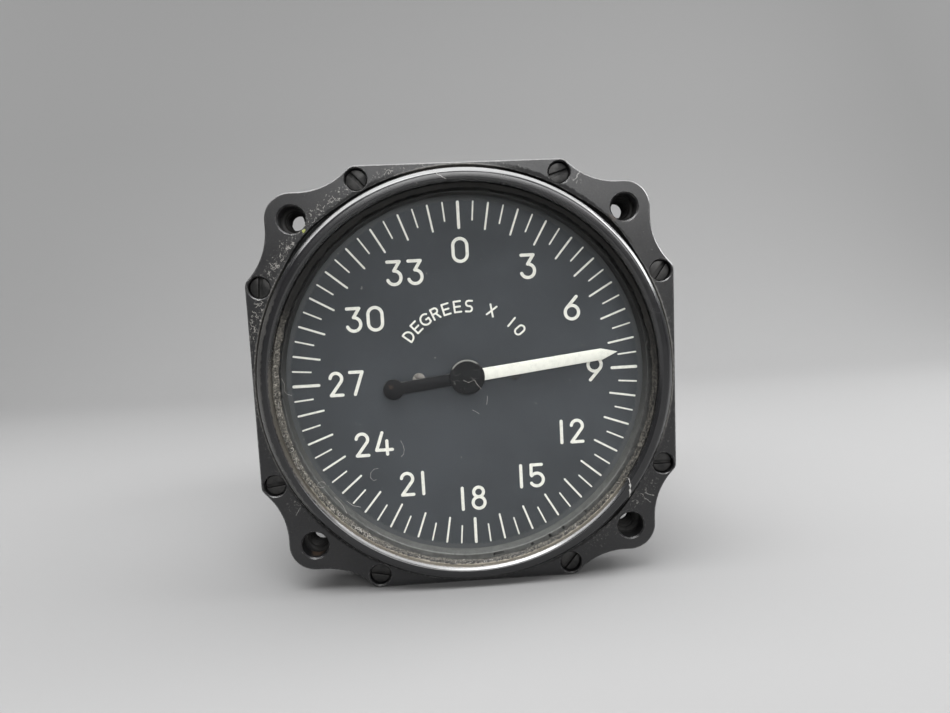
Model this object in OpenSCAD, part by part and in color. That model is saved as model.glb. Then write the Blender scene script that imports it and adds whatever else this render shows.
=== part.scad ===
// Radio compass indicator: a panel instrument with one pointer on a synchro receiver.
// The dial faces -Y and +Z is up. The origin is the centre of the four mounting holes,
// in the front face of the flange, where it meets the back of the instrument panel.

/* [Flange] */
// Width across the four flat sides
flange_w = 81.8; // [81.2:0.1:84]
// Distance between neighbouring mounting holes
hole_span = 62.87; // [62.4:0.01:63.4]
// Thickness of the bezel's flange
flange_t = 3; // [2.5:0.1:4]
// Diameter of the clearance holes in the bezel's flange
ear_hole_d = 5.2; // [4.6:0.1:5.6]
// Radius of an ear's corner about its hole
ear_r = 5; // [4.6:0.1:5.4]
// Straight edge of an ear inside its hole's centre
ear_edge = 1.4; // [1:0.1:2]
// Radius of the hollow curve between an ear and a shoulder
hollow_r = 13.3; // [12:0.1:14]
// Rounding of a shoulder
shoulder_r = 2; // [1:0.1:2.2]

/* [Ring and glass] */
// Outer diameter of the ring, which passes the panel's cut-out
ring_d = 79; // [78.6:0.1:79.3]
// Height of the ring's lip above the flange
ring_h = 2.9; // [2.4:0.1:4]
// Rounding of the lip's outer edge
lip_out_r = 1.3; // [0.8:0.1:1.4]
// Rounding of the lip's inner edge
lip_in_r = 0.6; // [0.4:0.1:0.8]
// Wall of the ring where it holds the glass
ring_wall = 2.7; // [2.4:0.05:3.2]
// How far the bore widens to the lip, on the radius
flare = 0.6; // [0.3:0.1:0.8]
// Thickness of the cover glass
glass_t = 2; // [1.6:0.1:2.4]
// How far the glass stands in front of the flange's face
glass_front = 0.8; // [0.4:0.1:1]
// Width of the sealing compound on the glass
seal_w = 0.8; // [0.5:0.1:1.2]
// Width of the seat ring at the dial
seat_w = 1.4; // [1:0.1:1.8]

/* [Dial] */
// Space between the glass and the dial
dial_gap = 2; // [1.9:0.05:2.6]
// Thickness of the dial plate
dial_t = 0.8; // [0.5:0.1:1.2]
// How far the dial is set round in its seat, in degrees anticlockwise
dial_turn = 0.5; // [-2:0.1:2]
// Space between the scale's strokes and the seat ring
scale_margin = 1.1; // [0.6:0.1:2]
// Length of a ten degree stroke
long_stroke = 5.4; // [4:0.1:5.8]
// Length of a five degree stroke
short_stroke = 3.8; // [2:0.1:5]
// Height of a numeral
numeral_h = 5; // [4:0.1:5.4]
// Width of a numeral's line
numeral_line = 0.62; // [0.4:0.02:0.8]
// Space between the top numeral and the long strokes
numeral_gap = 1.5; // [1:0.1:2]
// Radius of the legend's middle line
legend_r = 13.9; // [13:0.1:15]
// Height of a legend letter
legend_h = 2.45; // [2:0.05:2.8]
// Width of a legend letter's line
legend_line = 0.36; // [0.24:0.02:0.4]
// Distance between the two dial screws
dial_screw_span = 19; // [17:0.5:21]

/* [Pointer] */
// Bearing at which the pointer rests, in degrees clockwise from 0
pointer_bearing = 83.2; // [0:0.1:360]
// How far the blade's tip stays inside the scale's outer edge
tip_gap = 4; // [2:0.1:8]
// Width of the blade beside the hub
blade_w = 2.4; // [1.6:0.05:3]
// Length of the blade's point
point_len = 3.2; // [2:0.1:5]
// Thickness of the pointer's sheet
sheet_t = 0.4; // [0.3:0.05:0.5]
// Distance from the axis to the middle of the tail's round end
tail_len = 14.6; // [12:0.1:18]
// Radius of the tail's round end
tail_r = 2.05; // [1.6:0.05:2.6]
// Radius of the hub
hub_r = 3.45; // [2.8:0.05:4]

/* [Case] */
// Outer diameter of the case
case_d = 78; // [77.4:0.1:79]
// Depth of the case's rear face behind the flange's face
case_depth = 84; // [80:1:110]
// Wall of the case
case_wall = 2.4; // [2:0.1:3]
// Thickness of the case's own flange
case_flange_t = 4.6; // [4:0.1:6]
// Thickness of the bezel gasket
gasket_t = 0.4; // [0.3:0.1:0.8]
// Thickness of the movement plate
plate_t = 3; // [2.6:0.1:4]
// Diameter of a mounting insert's bore
insert_bore_d = 3.6; // [3.4:0.1:4]

/* [Synchro] */
// Outer diameter of the synchro receiver
synchro_d = 44.4; // [42:0.2:48]
// Length of the synchro's housing between its bells
housing_len = 39.5; // [38:0.5:46]
// Outer radius of the rotor
rotor_r = 12; // [11:0.1:13]
// Air gap between rotor and stator
air_gap = 0.2; // [0.15:0.05:0.4]
// Radius of the shaft between its bearings
shaft_r = 2; // [1.8:0.1:2.2]

/* [Connector] */
// Width of the connector's square flange
plug_flange_w = 30.2; // [29:0.1:32]
// Distance between the connector's screws
plug_hole_span = 23; // [22.4:0.1:24]
// Outer diameter of the connector's barrel
barrel_d = 22.2; // [21.4:0.1:23]
// Length of the barrel behind its flange
barrel_len = 13.3; // [12.6:0.1:16]
// Radius of a connector pin
pin_r = 0.8; // [0.6:0.05:1]

/* [Hidden] */
$fn = 96;

// Clearances: loose is between parts that slide together, slack round a screw's shank,
// hair between parts that are pressed or cemented
loose = 0.1;
slack = 0.3;
hair = 0.01;
over = 1;

// Colours
black_paint = [0.10, 0.10, 0.11];
dial_black = [0.13, 0.13, 0.14];
cream = [0.93, 0.91, 0.84];
steel = [0.62, 0.62, 0.63];
dark_steel = [0.25, 0.25, 0.26];
brass = [0.78, 0.62, 0.32];
alloy = [0.72, 0.73, 0.74];
copper = [0.72, 0.38, 0.20];
rubber_black = [0.06, 0.06, 0.06];
phenolic = [0.30, 0.17, 0.10];

// Flange and holes
hole_half = hole_span / 2;
flange_half = flange_w / 2;
ear_reach = hole_half + ear_r;
hollow_start = hole_half - ear_edge;

// Depths behind the flange's front face, from front to back
glass_back = glass_t - glass_front;
dial_depth = glass_back + dial_gap;
dial_back = dial_depth + dial_t;
plate_back = dial_back + plate_t;
shoulder_t = 3.5;
shoulder_back = plate_back + shoulder_t;
gasket_back = flange_t + gasket_t;
case_flange_back = gasket_back + case_flange_t;
case_floor = case_depth - case_wall;

// Radii of the pieces in the mouth of the case
mouth_r = ring_d / 2 - ring_wall;
glass_r = mouth_r - loose;
seat_r = glass_r - seat_w;
scale_r = seat_r - scale_margin;
lip_out = min(lip_out_r, ring_d / 2 - mouth_r - flare - lip_in_r - 0.05);
case_r = case_d / 2;
cavity_r = case_r - case_wall;
case_edge_r = 2.5;
shoulder_w = 5.8;
shoulder_in_r = mouth_r - shoulder_w;
neck_wall = 2.2;
insert_r = 3;
insert_back = case_flange_back + 0.4;

// Centres of a shoulder's rounding and of the hollow beside it
hollow_y = ear_reach + hollow_r;
shoulder_y = flange_half - shoulder_r;
shoulder_x = hollow_start - sqrt(pow(hollow_r + shoulder_r, 2) - pow(hollow_y - shoulder_y, 2));

// Screws of the bezel, with their heads in wells beside the shoulders
bezel_screw_x = shoulder_x - 0.1;
bezel_screw_y = flange_half - 2.6;
bezel_head_r = 1.9;
bezel_head_h = 1.1;
bezel_well_r = 2.1;
bezel_well_depth = flange_t - 1;
bezel_shank_r = 1.4;
bezel_shank_len = case_flange_back - 1 - bezel_well_depth;
// Slope of each slot, clockwise from the right one of the top pair
slot_turns = [17, 55, 0, 50, -12, 8, 86, -48];

// Movement plate screws
plate_screw_ring = mouth_r - 3.2;
plate_screw_r = 1.1;
plate_head_r = 2;
plate_head_h = 1.4;

// Dial screws
dial_head_r = 1.25;
dial_head_h = 0.42;
dial_shank_r = 0.8;
dial_shank_len = dial_t + 1.8;
dial_hole_r = 2.6;
dial_slot_turns = [-38, 20];

// Pointer: depths of its cap, sheet and collar in the gap between glass and dial
blade_len = scale_r - tip_gap;
cap_front = glass_back + 0.5;
sheet_front = cap_front + 0.4;
sheet_back = sheet_front + sheet_t;
collar_back = sheet_back + 0.4;
collar_r = hub_r - 0.9;
neck_r = 1.9;
staff_r = 0.8;
staff_front = cap_front + 0.2;

// Scale strokes and numerals
paint_t = 0.08;
cardinal_line = 0.58;
long_line = 0.38;
short_line = 0.3;
numeral_r = scale_r - long_stroke - numeral_gap - numeral_h / 2;
// Height of the numerals' rows and their outer edges, from the top row to the middle row
row_y = [numeral_r, numeral_r * cos(30) - 0.5, numeral_r / 2, 0];
row_edge = [0, numeral_r / 2 + 2.2, numeral_r * cos(30) + 1.5, numeral_r + 2.35];
legend_text = "DEGREES X 10";
legend_pitch = 9.4;

// Synchro receiver
pilot_r = 7.2;
pilot_front = dial_back + 0.6;
bell_t = 3.5;
housing_front = plate_back + bell_t;
housing_back = housing_front + housing_len;
rear_bell_back = housing_back + bell_t;
synchro_r = synchro_d / 2;
housing_in_r = synchro_r - 1.2;
spigot_len = 1.6;
spigot_in_r = housing_in_r - 2.4;
groove_depth = 1.4;
groove_front = plate_back + 1.2;
groove_back = groove_front + 1.2;
bell_screw_r = 0.5;
bell_head_r = 0.9;
bell_screw_len = 2.2;

// Bearings: both alike
race_w = 3.6;
race_out_r = 4.76;
race_out_in_r = 3.85;
race_in_out_r = 2.75;
journal_r = 1.58;
ball_ring_r = 3.3;
ball_r = 0.79;
track_r = ball_r + 0.04;
ball_count = 7;
front_race = pilot_front + 1.6;
rear_race = rear_bell_back - 1.4 - race_w;

// Stator and rotor
stack_len = 20;
stack_front = (housing_front + housing_back - stack_len) / 2 - 2;
stack_back = stack_front + stack_len;
bore_r = rotor_r + air_gap;
slot_count = 12;
slot_w = 2.6;
slot_r = housing_in_r - 3;
coil_gap = 0.2;
coil_in_r = bore_r + 1.2;
end_turn_r = slot_r + 1;
end_turn_len = 3.8;
neck_w = 7;
shoe_r = rotor_r - 2.6;
shoe_half_angle = 55;
rotor_turn_len = 2.6;

// Slip rings and brushes
sleeve_front = stack_back + 4.6;
sleeve_len = 5.2;
sleeve_r = shaft_r + 1;
slip_r = sleeve_r + 0.6;
slip_w = 1.6;
slip_depths = [sleeve_front + 1.3, sleeve_front + 3.9];
block_front = sleeve_front + 0.2;
block_back = housing_back - spigot_len;
block_y0 = 7;
block_y1 = 12.4;
block_w = 8;
brush_r = 0.7;
brush_top = 9;
spring_top = 11.4;
spring_wire_r = 0.18;

// Terminal board behind the rear bell
board_r = 15;
board_in_r = 6;
board_t = 1.6;
board_back = rear_bell_back + board_t;
board_screw_ring = 9;
board_screw_r = 0.7;
lead_count = 5;
lead_r = 0.55;
post_r = 0.8;
post_ring = 12;
post_back = board_back + 3;

// Synchro clamps
clamp_ring = synchro_r + 3.5;
clamp_out_r = clamp_ring + 2.7;
clamp_w = 8;
clamp_back = groove_back - 0.05;
clamp_head_r = 2;
clamp_head_h = 1.6;

// Connector
plug_front = case_depth + 0.8;
plug_flange_back = plug_front + 2.4;
barrel_back = plug_flange_back + barrel_len;
socket_r = 9.3;
plug_sleeve_r = 10;
plug_corner_r = 3;
insert_front = case_floor - 1.6;
insert_face = plug_front + 5.2;
pin_back = insert_face + 6;
pin_ring = 5.2;
cup_r = 1.1;
cup_front = insert_front - 4;
plug_screw_r = 1.3;
plug_head_r = 2.4;
plug_head_h = 1.5;
key_w = 1.6;
key_h = 0.8;

function on_circle(r, a) = [r * cos(a), r * sin(a)];

// Draws in the dial's own frame: x right, y up, z out of the dial towards the viewer
module facing() { rotate([90, 0, 0]) children(); }

// Round bar between two depths
module bar(r, front, back) { translate([0, 0, -back]) cylinder(r = r, h = back - front); }

// Round tube between two depths
module tube(out_r, in_r, front, back) {
    difference() {
        bar(out_r, front, back);
        bar(in_r, front - over, back + over);
    }
}

// Extrudes a flat outline between two depths
module slab(front, back) { translate([0, 0, -back]) linear_extrude(back - front) children(); }

// Round rod between two points, with a slightly fuller ball at each end
module rod(a, b, r) {
    d = b - a;
    translate(a) rotate([0, acos(d.z / norm(d)), atan2(d.y, d.x)]) cylinder(r = r, h = norm(d));
    for (end = [a, b]) translate(end) sphere(r * 1.06);
}

// Places children on a ring, by bearing clockwise from the top
module at_bearing(r, bearing) { rotate(-bearing) translate([0, r, 0]) children(); }

module at_mount_holes() {
    for (x = [-1, 1], y = [-1, 1]) translate([x * hole_half, y * hole_half, 0]) children();
}

// The eight bezel screws; $slot passes on the slope of each slot
module at_bezel_screws() {
    for (i = [0:3], side = [-1, 1]) rotate(-90 * i) {
        $slot = slot_turns[(2 * i + (side < 0 ? 7 : 0)) % 8] + 90 * i;
        translate([side * bezel_screw_x, bezel_screw_y, 0]) children();
    }
}

// A slotted cheese head that starts at a depth, with its shank behind it
module slotted_screw(head_r, head_h, shank_r, shank_len, front, slope = 0) {
    slot_w = head_r * 0.34;
    slot_depth = head_h * 0.5;
    difference() {
        bar(head_r, front, front + head_h);
        rotate(slope) translate([-head_r * 2, -slot_w / 2, -front - slot_depth])
            cube([head_r * 4, slot_w, slot_depth + over]);
    }
    bar(shank_r, front + head_h, front + head_h + shank_len);
}

// What one corner loses beside its ear: the hollow, the strip past the ear, a shoulder's tip
module ear_side_cut() {
    lean = atan2(hollow_y - shoulder_y, hollow_start - shoulder_x);
    tip = shoulder_r * 1.5;
    translate([hollow_start, hollow_y]) circle(hollow_r);
    translate([hollow_start, ear_reach]) square(2 * ear_r + hollow_r);
    translate([shoulder_x, shoulder_y]) difference() {
        polygon([[0, 0], on_circle(tip, lean), on_circle(tip, (90 + lean) / 2), on_circle(tip, 90)]);
        circle(shoulder_r);
    }
}

// The flange's outline: four flats, four ears, and hollow curves between them
module flange_outline() {
    difference() {
        square(flange_w, center = true);
        for (q = [0:3]) rotate(90 * q) {
            ear_side_cut();
            mirror([1, -1]) ear_side_cut();
            translate([hole_half, hole_half]) difference() {
                square(2 * ear_r);
                circle(ear_r);
            }
        }
    }
}

// Half section of the ring, with its rounded lip and flared bore, in radius and height
module ring_section() {
    start = mouth_r - 0.5;
    flare_r = mouth_r + flare;
    flare_top = ring_h - lip_in_r;
    crest_r = ring_d / 2 - lip_out;
    difference() {
        union() {
            translate([start, -flange_t]) square([ring_d / 2 - start, ring_h - lip_out + flange_t]);
            translate([start, -flange_t]) square([crest_r - start, ring_h + flange_t]);
            translate([crest_r, ring_h - lip_out]) circle(lip_out);
        }
        polygon([[start - over, glass_front], [mouth_r, glass_front], [flare_r, flare_top],
            [flare_r + lip_in_r, flare_top], [flare_r + lip_in_r, ring_h + over],
            [start - over, ring_h + over]]);
    }
    intersection() {
        translate([flare_r + lip_in_r, flare_top]) circle(lip_in_r);
        translate([flare_r, flare_top]) square(lip_in_r);
    }
}

module bezel() {
    color(black_paint) facing() difference() {
        union() {
            rotate_extrude() ring_section();
            slab(0, flange_t) flange_outline();
        }
        bar(mouth_r, -glass_front, flange_t + over);
        at_mount_holes() bar(ear_hole_d / 2, -over, flange_t + over);
        at_bezel_screws() {
            bar(bezel_well_r, -over, bezel_well_depth);
            bar(bezel_shank_r + slack, 0, flange_t + over);
        }
    }
}

module bezel_gasket() {
    color(rubber_black) facing() difference() {
        slab(flange_t, gasket_back) flange_outline();
        bar(mouth_r + 0.4, flange_t - over, gasket_back + over);
        at_mount_holes() bar(ear_hole_d / 2 + 0.2, flange_t - over, gasket_back + over);
        at_bezel_screws() bar(bezel_shank_r + slack, flange_t - over, gasket_back + over);
    }
}

module bezel_screws() {
    color(dark_steel) facing() at_bezel_screws()
        slotted_screw(bezel_head_r, bezel_head_h, bezel_shank_r, bezel_shank_len,
            bezel_well_depth - bezel_head_h, $slot);
}

module cover_glass() {
    color([0.75, 0.8, 0.8, 0.4]) facing() bar(glass_r, -glass_front, glass_back);
}

// A fillet of compound between the glass and the flared bore
module glass_seal() {
    rise = (ring_h - lip_in_r - glass_front) * 0.6;
    color(rubber_black) facing() rotate_extrude()
        polygon([[mouth_r - seal_w, glass_front], [mouth_r - hair, glass_front],
            [mouth_r + flare * 0.6 - 2 * hair, glass_front + rise],
            [mouth_r - seal_w * 0.4, glass_front + rise * 0.45]]);
}

// The ring that the glass sits on, its bore a little wider at the glass than at the dial
module seat_ring() {
    widen = 0.3;
    color(dark_steel) facing() rotate_extrude()
        polygon([[seat_r, -dial_depth], [glass_r, -dial_depth], [glass_r, -glass_back],
            [seat_r + widen, -glass_back]]);
}

module at_dial_screws() {
    for (i = [0, 1]) rotate(dial_turn) translate([(i - 0.5) * dial_screw_span, 0, 0]) {
        $slot = dial_slot_turns[i];
        children();
    }
}

module dial_plate() {
    color(dial_black) facing() difference() {
        bar(glass_r, dial_depth, dial_back);
        bar(dial_hole_r, dial_depth - over, dial_back + over);
        at_dial_screws() bar(dial_shank_r + 0.1, dial_depth - over, dial_back + over);
    }
}

// A line with round ends between two points
module stroke(a, b, w) {
    d = b - a;
    translate(a) circle(w / 2);
    translate(b) circle(w / 2);
    translate(a) rotate(atan2(d.y, d.x)) translate([0, -w / 2]) square([norm(d), w]);
}

module hoop(c, r, w) {
    translate(c) difference() {
        circle(r + w / 2);
        circle(r - w / 2);
    }
}

// A round arc with round ends, from angle a0 anticlockwise to a1
module bow(c, r, a0, a1, w) {
    reach = 2 * (r + w);
    steps = ceil((a1 - a0) / 45);
    fan = [for (i = [0:steps]) on_circle(reach, a0 + (a1 - a0) * i / steps)];
    intersection() {
        hoop(c, r, w);
        translate(c) polygon(concat([[0, 0]], fan));
    }
    for (a = [a0, a1]) translate(c + on_circle(r, a)) circle(w / 2);
}

// A closed loop two units high, with straight sides and round ends
module loop(r, w) {
    side = 1 - r;
    difference() {
        union() {
            for (s = [-1, 1]) translate([0, s * side]) circle(r + w / 2);
            square([2 * r + w, 2 * side], center = true);
        }
        for (s = [-1, 1]) translate([0, s * side]) circle(r - w / 2);
        square([2 * r - w, 2 * side], center = true);
    }
}

// The figure six: a round bowl and a straight stem that touches it
module six(w) {
    r = 0.607;
    c = [0, r - 1];
    top = [0.434, 1];
    d = top - c;
    touch = atan2(d.y, d.x) + acos(r / norm(d));
    stroke(top, c + on_circle(r, touch), w);
    hoop(c, r, w);
}

// Characters two units high about their own centre, with a line of width w
module glyph(ch, w) {
    if (ch == "0") loop(0.623, w);
    if (ch == "1") stroke([0, -1], [0, 1], w);
    if (ch == "2") {
        bow([0, 0.49], 0.51, -35, 172, w);
        stroke([0.51 * cos(35), 0.49 - 0.51 * sin(35)], [-0.51, -1], w);
        stroke([-0.51, -1], [0.52, -1], w);
    }
    if (ch == "3") {
        stroke([-0.55, 1], [0.52, 1], w);
        stroke([0.52, 1], [0, 0.2], w);
        bow([0, -0.4], 0.6, -160, 90, w);
    }
    if (ch == "4") {
        stroke([-0.12, 1], [-0.69, -0.59], w);
        stroke([-0.69, -0.59], [0.73, -0.59], w);
        stroke([0.27, 0.23], [0.27, -1], w);
    }
    if (ch == "5") {
        stroke([-0.53, 1], [0.43, 1], w);
        stroke([-0.53, 1], [-0.55, 0.08], w);
        bow([-0.04, -0.4], 0.6, -148, 140, w);
    }
    if (ch == "6") six(w);
    if (ch == "7") {
        stroke([-0.55, 1], [0.55, 1], w);
        stroke([0.55, 1], [-0.18, -1], w);
    }
    if (ch == "8") {
        hoop([0, 0.55], 0.45, w);
        hoop([0, -0.45], 0.55, w);
    }
    if (ch == "9") rotate(180) six(w);
    if (ch == "D") {
        stroke([-0.65, -1], [-0.65, 1], w);
        for (y = [-1, 1]) stroke([-0.65, y], [-0.3, y], w);
        bow([-0.3, 0], 1, -90, 90, w);
    }
    if (ch == "E") {
        stroke([-0.6, -1], [-0.6, 1], w);
        for (y = [-1, 0, 1]) stroke([-0.6, y], [0.5 + 0.12 * abs(y), y], w);
    }
    if (ch == "G") {
        bow([0.1, 0], 1, 48, 308, w);
        stroke([0.1 + cos(52), -sin(52)], [0.1 + cos(52), -0.05], w);
        stroke([0.1 + cos(52), -0.05], [0.15, -0.05], w);
    }
    if (ch == "R") {
        stroke([-0.6, -1], [-0.6, 1], w);
        for (y = [0, 1]) stroke([-0.6, y], [0.1, y], w);
        bow([0.1, 0.5], 0.5, -90, 90, w);
        stroke([0.1, 0], [0.62, -1], w);
    }
    if (ch == "S") {
        stroke([0.54, 1], [-0.08, 1], w);
        bow([-0.08, 0.5], 0.5, 90, 270, w);
        stroke([-0.08, 0], [0.08, 0], w);
        bow([0.08, -0.5], 0.5, -90, 90, w);
        stroke([0.08, -1], [-0.56, -1], w);
    }
    if (ch == "X") {
        stroke([-0.62, -1], [0.62, 1], w);
        stroke([-0.62, 1], [0.62, -1], w);
    }
}

// Half width of a numeral's figure, the pitch of a pair and the half width of one or two
function half_width(ch) = ch == "1" ? 0 : ch == "2" ? 0.52 : ch == "4" ? 0.71 : ch == "0" ? 0.62 : 0.57;
function pitch(figures) =
    half_width(figures[0]) + half_width(figures[1]) + (figures[0] == "1" || figures[1] == "1" ? 0.92 : 0.72);
function half_span(figures) = len(figures) == 1
    ? half_width(figures[0])
    : (half_width(figures[0]) + pitch(figures) + half_width(figures[1])) / 2;

// The twelve numerals: each stands upright in its row, with its outer edge at the row's edge
module numerals() {
    k = (numeral_h - numeral_line) / 2;
    for (n = [0:11]) {
        figures = str(3 * n);
        row = n <= 3 ? n : n <= 9 ? abs(6 - n) : 12 - n;
        up = n <= 3 || n > 9 ? 1 : -1;
        side = n % 6 == 0 ? 0 : n < 6 ? 1 : -1;
        half = half_span(figures);
        middle = side * (row_edge[row] - half * k - numeral_line / 2);
        for (i = [0:len(figures) - 1])
            translate([middle, up * row_y[row]]) scale(k)
                translate([i == 0 ? half_width(figures[0]) - half : half - half_width(figures[i]), 0])
                    glyph(figures[i], numeral_line / k);
    }
}

// Strokes every five degrees, longer every ten and thicker at the quarters
module scale_strokes() {
    for (i = [0:71]) {
        w = i % 18 == 0 ? cardinal_line : i % 2 == 0 ? long_line : short_line;
        length = i % 2 == 0 ? long_stroke : short_stroke;
        rotate(-5 * i) stroke([0, scale_r - length + w / 2], [0, scale_r - w / 2], w);
    }
}

// The legend, its letters spaced by angle along their arc
module legend() {
    k = (legend_h - legend_line) / 2;
    last = len(legend_text) - 1;
    for (i = [0:last])
        rotate(legend_pitch * (last / 2 - i)) translate([0, legend_r]) scale(k)
            glyph(legend_text[i], legend_line / k);
}

module dial_markings() {
    color(cream) facing() rotate(dial_turn) slab(dial_depth - paint_t, dial_depth) {
        scale_strokes();
        numerals();
        legend();
    }
}

module dial_screws() {
    color(steel) facing() at_dial_screws()
        slotted_screw(dial_head_r, dial_head_h, dial_shank_r, dial_shank_len,
            dial_depth - dial_head_h, $slot);
}

// The pointer's sheet: pointed blade, disc under the hub, and tail with a round end
module pointer_blade() {
    half = blade_w / 2;
    tip_half = half * 0.94;
    color(cream) facing() rotate(-pointer_bearing) difference() {
        slab(sheet_front, sheet_back) {
            polygon([[-half, 0], [half, 0], [tip_half, blade_len - point_len], [0, blade_len],
                [-tip_half, blade_len - point_len]]);
            circle(hub_r);
            translate([-half, -tail_len]) square([blade_w, tail_len]);
            translate([0, -tail_len]) circle(tail_r);
        }
        bar(neck_r + hair, sheet_front - over, sheet_back + over);
    }
}

module pointer_hub() {
    color(black_paint) facing() difference() {
        union() {
            bar(hub_r, cap_front, sheet_front);
            bar(neck_r, cap_front, collar_back);
            bar(collar_r, sheet_back, collar_back);
        }
        bar(staff_r + hair, staff_front, collar_back + over);
    }
}

module at_plug_screws() {
    for (x = [-0.5, 0.5], y = [-0.5, 0.5])
        translate([x * plug_hole_span, y * plug_hole_span, 0]) children();
}

module case() {
    color(black_paint) facing() difference() {
        union() {
            slab(gasket_back, case_flange_back) flange_outline();
            bar(mouth_r + neck_wall, gasket_back + over, shoulder_back);
            bar(case_r, gasket_back + over, case_depth - case_edge_r);
            bar(case_r - case_edge_r, gasket_back + over, case_depth);
            translate([0, 0, case_edge_r - case_depth])
                rotate_extrude() translate([case_r - case_edge_r, 0]) circle(case_edge_r);
        }
        bar(mouth_r, gasket_back - over, plate_back);
        bar(shoulder_in_r, plate_back - over, shoulder_back + over);
        bar(cavity_r, shoulder_back, case_floor);
        bar(plug_sleeve_r + loose, case_floor - over, case_depth + over);
        at_mount_holes() bar(insert_r + hair, gasket_back - over, case_flange_back + over);
        at_bezel_screws() bar(bezel_shank_r + hair, gasket_back - over, case_flange_back - 0.7);
        for (b = [0, 120, 240]) at_bearing(plate_screw_ring, b)
            bar(plate_screw_r + hair, plate_back - over, shoulder_back - 0.5);
        at_plug_screws() bar(plug_screw_r + hair, case_floor + 0.3, case_depth + over);
    }
}

module mount_inserts() {
    color(dark_steel) facing() at_mount_holes() tube(insert_r, insert_bore_d / 2, gasket_back, insert_back);
}

module movement_plate() {
    color(alloy) facing() difference() {
        bar(glass_r, dial_back, plate_back);
        bar(pilot_r + 0.05, pilot_front - 0.1, plate_back + over);
        bar(dial_hole_r, dial_back - over, plate_back + over);
        at_dial_screws() bar(dial_shank_r + hair, dial_back - over, dial_back + 2);
        for (b = [0, 120, 240]) at_bearing(plate_screw_ring, b) {
            bar(plate_head_r + 0.2, dial_back - over, dial_back + 0.1 + plate_head_h);
            bar(plate_screw_r + slack, dial_back, plate_back + over);
        }
        for (b = [60, 180, 300]) at_bearing(clamp_ring, b)
            bar(plate_screw_r + hair, dial_back + 0.5, plate_back + over);
    }
}

module movement_screws() {
    front = dial_back + 0.1;
    shank_len = shoulder_back - 0.7 - front - plate_head_h;
    color(steel) facing() for (b = [0, 120, 240]) at_bearing(plate_screw_ring, b)
        slotted_screw(plate_head_r, plate_head_h, plate_screw_r, shank_len, front, b * 2 + 15);
}

// Each clamp sits on the movement plate, and its tongue holds the front bell by its groove
module synchro_clamps() {
    foot_r = synchro_r + 0.3;
    tongue_r = synchro_r - groove_depth + 0.1;
    tongue_front = groove_front + 0.05;
    color(steel) facing() for (b = [60, 180, 300]) rotate(-b) difference() {
        union() {
            translate([-clamp_w / 2, foot_r, -clamp_back])
                cube([clamp_w, clamp_out_r - foot_r, clamp_back - plate_back]);
            translate([-clamp_w / 2, tongue_r, -clamp_back])
                cube([clamp_w, clamp_out_r - tongue_r, clamp_back - tongue_front]);
        }
        translate([0, clamp_ring, 0]) bar(plate_screw_r + slack, plate_back - over, groove_back + over);
    }
}

module clamp_screws() {
    color(steel) facing() for (b = [60, 180, 300]) at_bearing(clamp_ring, b) mirror([0, 0, 1])
        slotted_screw(clamp_head_r, clamp_head_h, plate_screw_r, clamp_back - dial_back - 0.7,
            -clamp_back - clamp_head_h, b);
}

// Places children on the synchro's side, pointing at the axis
module at_bell_screws() {
    for (b = [0, 120, 240], depth = [housing_front + spigot_len / 2, housing_back - spigot_len / 2])
        rotate(-b) translate([0, synchro_r, -depth]) rotate([90, 0, 0]) children();
}

module bell_holes() {
    at_bell_screws() translate([0, 0, -over])
        cylinder(r = bell_screw_r + hair, h = bell_screw_len + 0.2 + over);
}

module bell_screws() {
    color(steel) facing() at_bell_screws() {
        cylinder(r = bell_screw_r, h = bell_screw_len);
        translate([0, 0, -0.4]) cylinder(r = bell_head_r, h = 0.4);
    }
}

module front_bell() {
    color(alloy) facing() difference() {
        union() {
            bar(pilot_r, pilot_front, housing_front);
            bar(synchro_r, plate_back, housing_front);
            bar(housing_in_r - hair, plate_back + over, housing_front + spigot_len);
        }
        tube(synchro_r + over, synchro_r - groove_depth, groove_front, groove_back);
        bar(spigot_in_r, housing_front, housing_front + spigot_len + over);
        bar(race_in_out_r + 0.4, pilot_front - over, housing_front + over);
        bar(race_out_r + hair, front_race, housing_front + over);
        bell_holes();
    }
}

module synchro_housing() {
    color(alloy) facing() difference() {
        tube(synchro_r, housing_in_r, housing_front, housing_back);
        bell_holes();
    }
}

module at_board_screws() { for (b = [90, 270]) at_bearing(board_screw_ring, b) children(); }

module rear_bell() {
    color(alloy) facing() difference() {
        union() {
            bar(synchro_r, housing_back, rear_bell_back);
            bar(housing_in_r - hair, housing_back - spigot_len, rear_bell_back - over);
        }
        tube(spigot_in_r, block_y1 + 1.6, housing_back - spigot_len - over, housing_back);
        bar(race_out_r + hair, housing_back - spigot_len - over, rear_race + race_w);
        bar(race_in_out_r + 0.4, rear_race, rear_bell_back + over);
        at_board_screws() bar(board_screw_r + hair, rear_bell_back - 2.4, rear_bell_back + over);
        bell_holes();
    }
}

module slots(r, w) {
    for (i = [0:slot_count - 1]) rotate(360 * (i + 0.5) / slot_count)
        translate([0, -w / 2]) square([r, w]);
}

module stator_core() {
    color(dark_steel) facing() slab(stack_front, stack_back) difference() {
        circle(housing_in_r - 0.05);
        circle(bore_r);
        slots(slot_r, slot_w);
    }
}

module stator_winding() {
    ends = [stack_front - coil_gap - end_turn_len, stack_back + coil_gap];
    color(copper) facing() {
        for (front = ends) tube(end_turn_r, coil_in_r, front, front + end_turn_len);
        slab(ends[0] + 0.5, ends[1] + 0.5) difference() {
            slots(slot_r - coil_gap, slot_w - 2 * coil_gap);
            circle(coil_in_r);
        }
    }
}

// Groove for the balls at a bearing's middle
module ball_track(front) {
    translate([0, 0, -front - race_w / 2])
        rotate_extrude() translate([ball_ring_r, 0]) circle(track_r);
}

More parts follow.
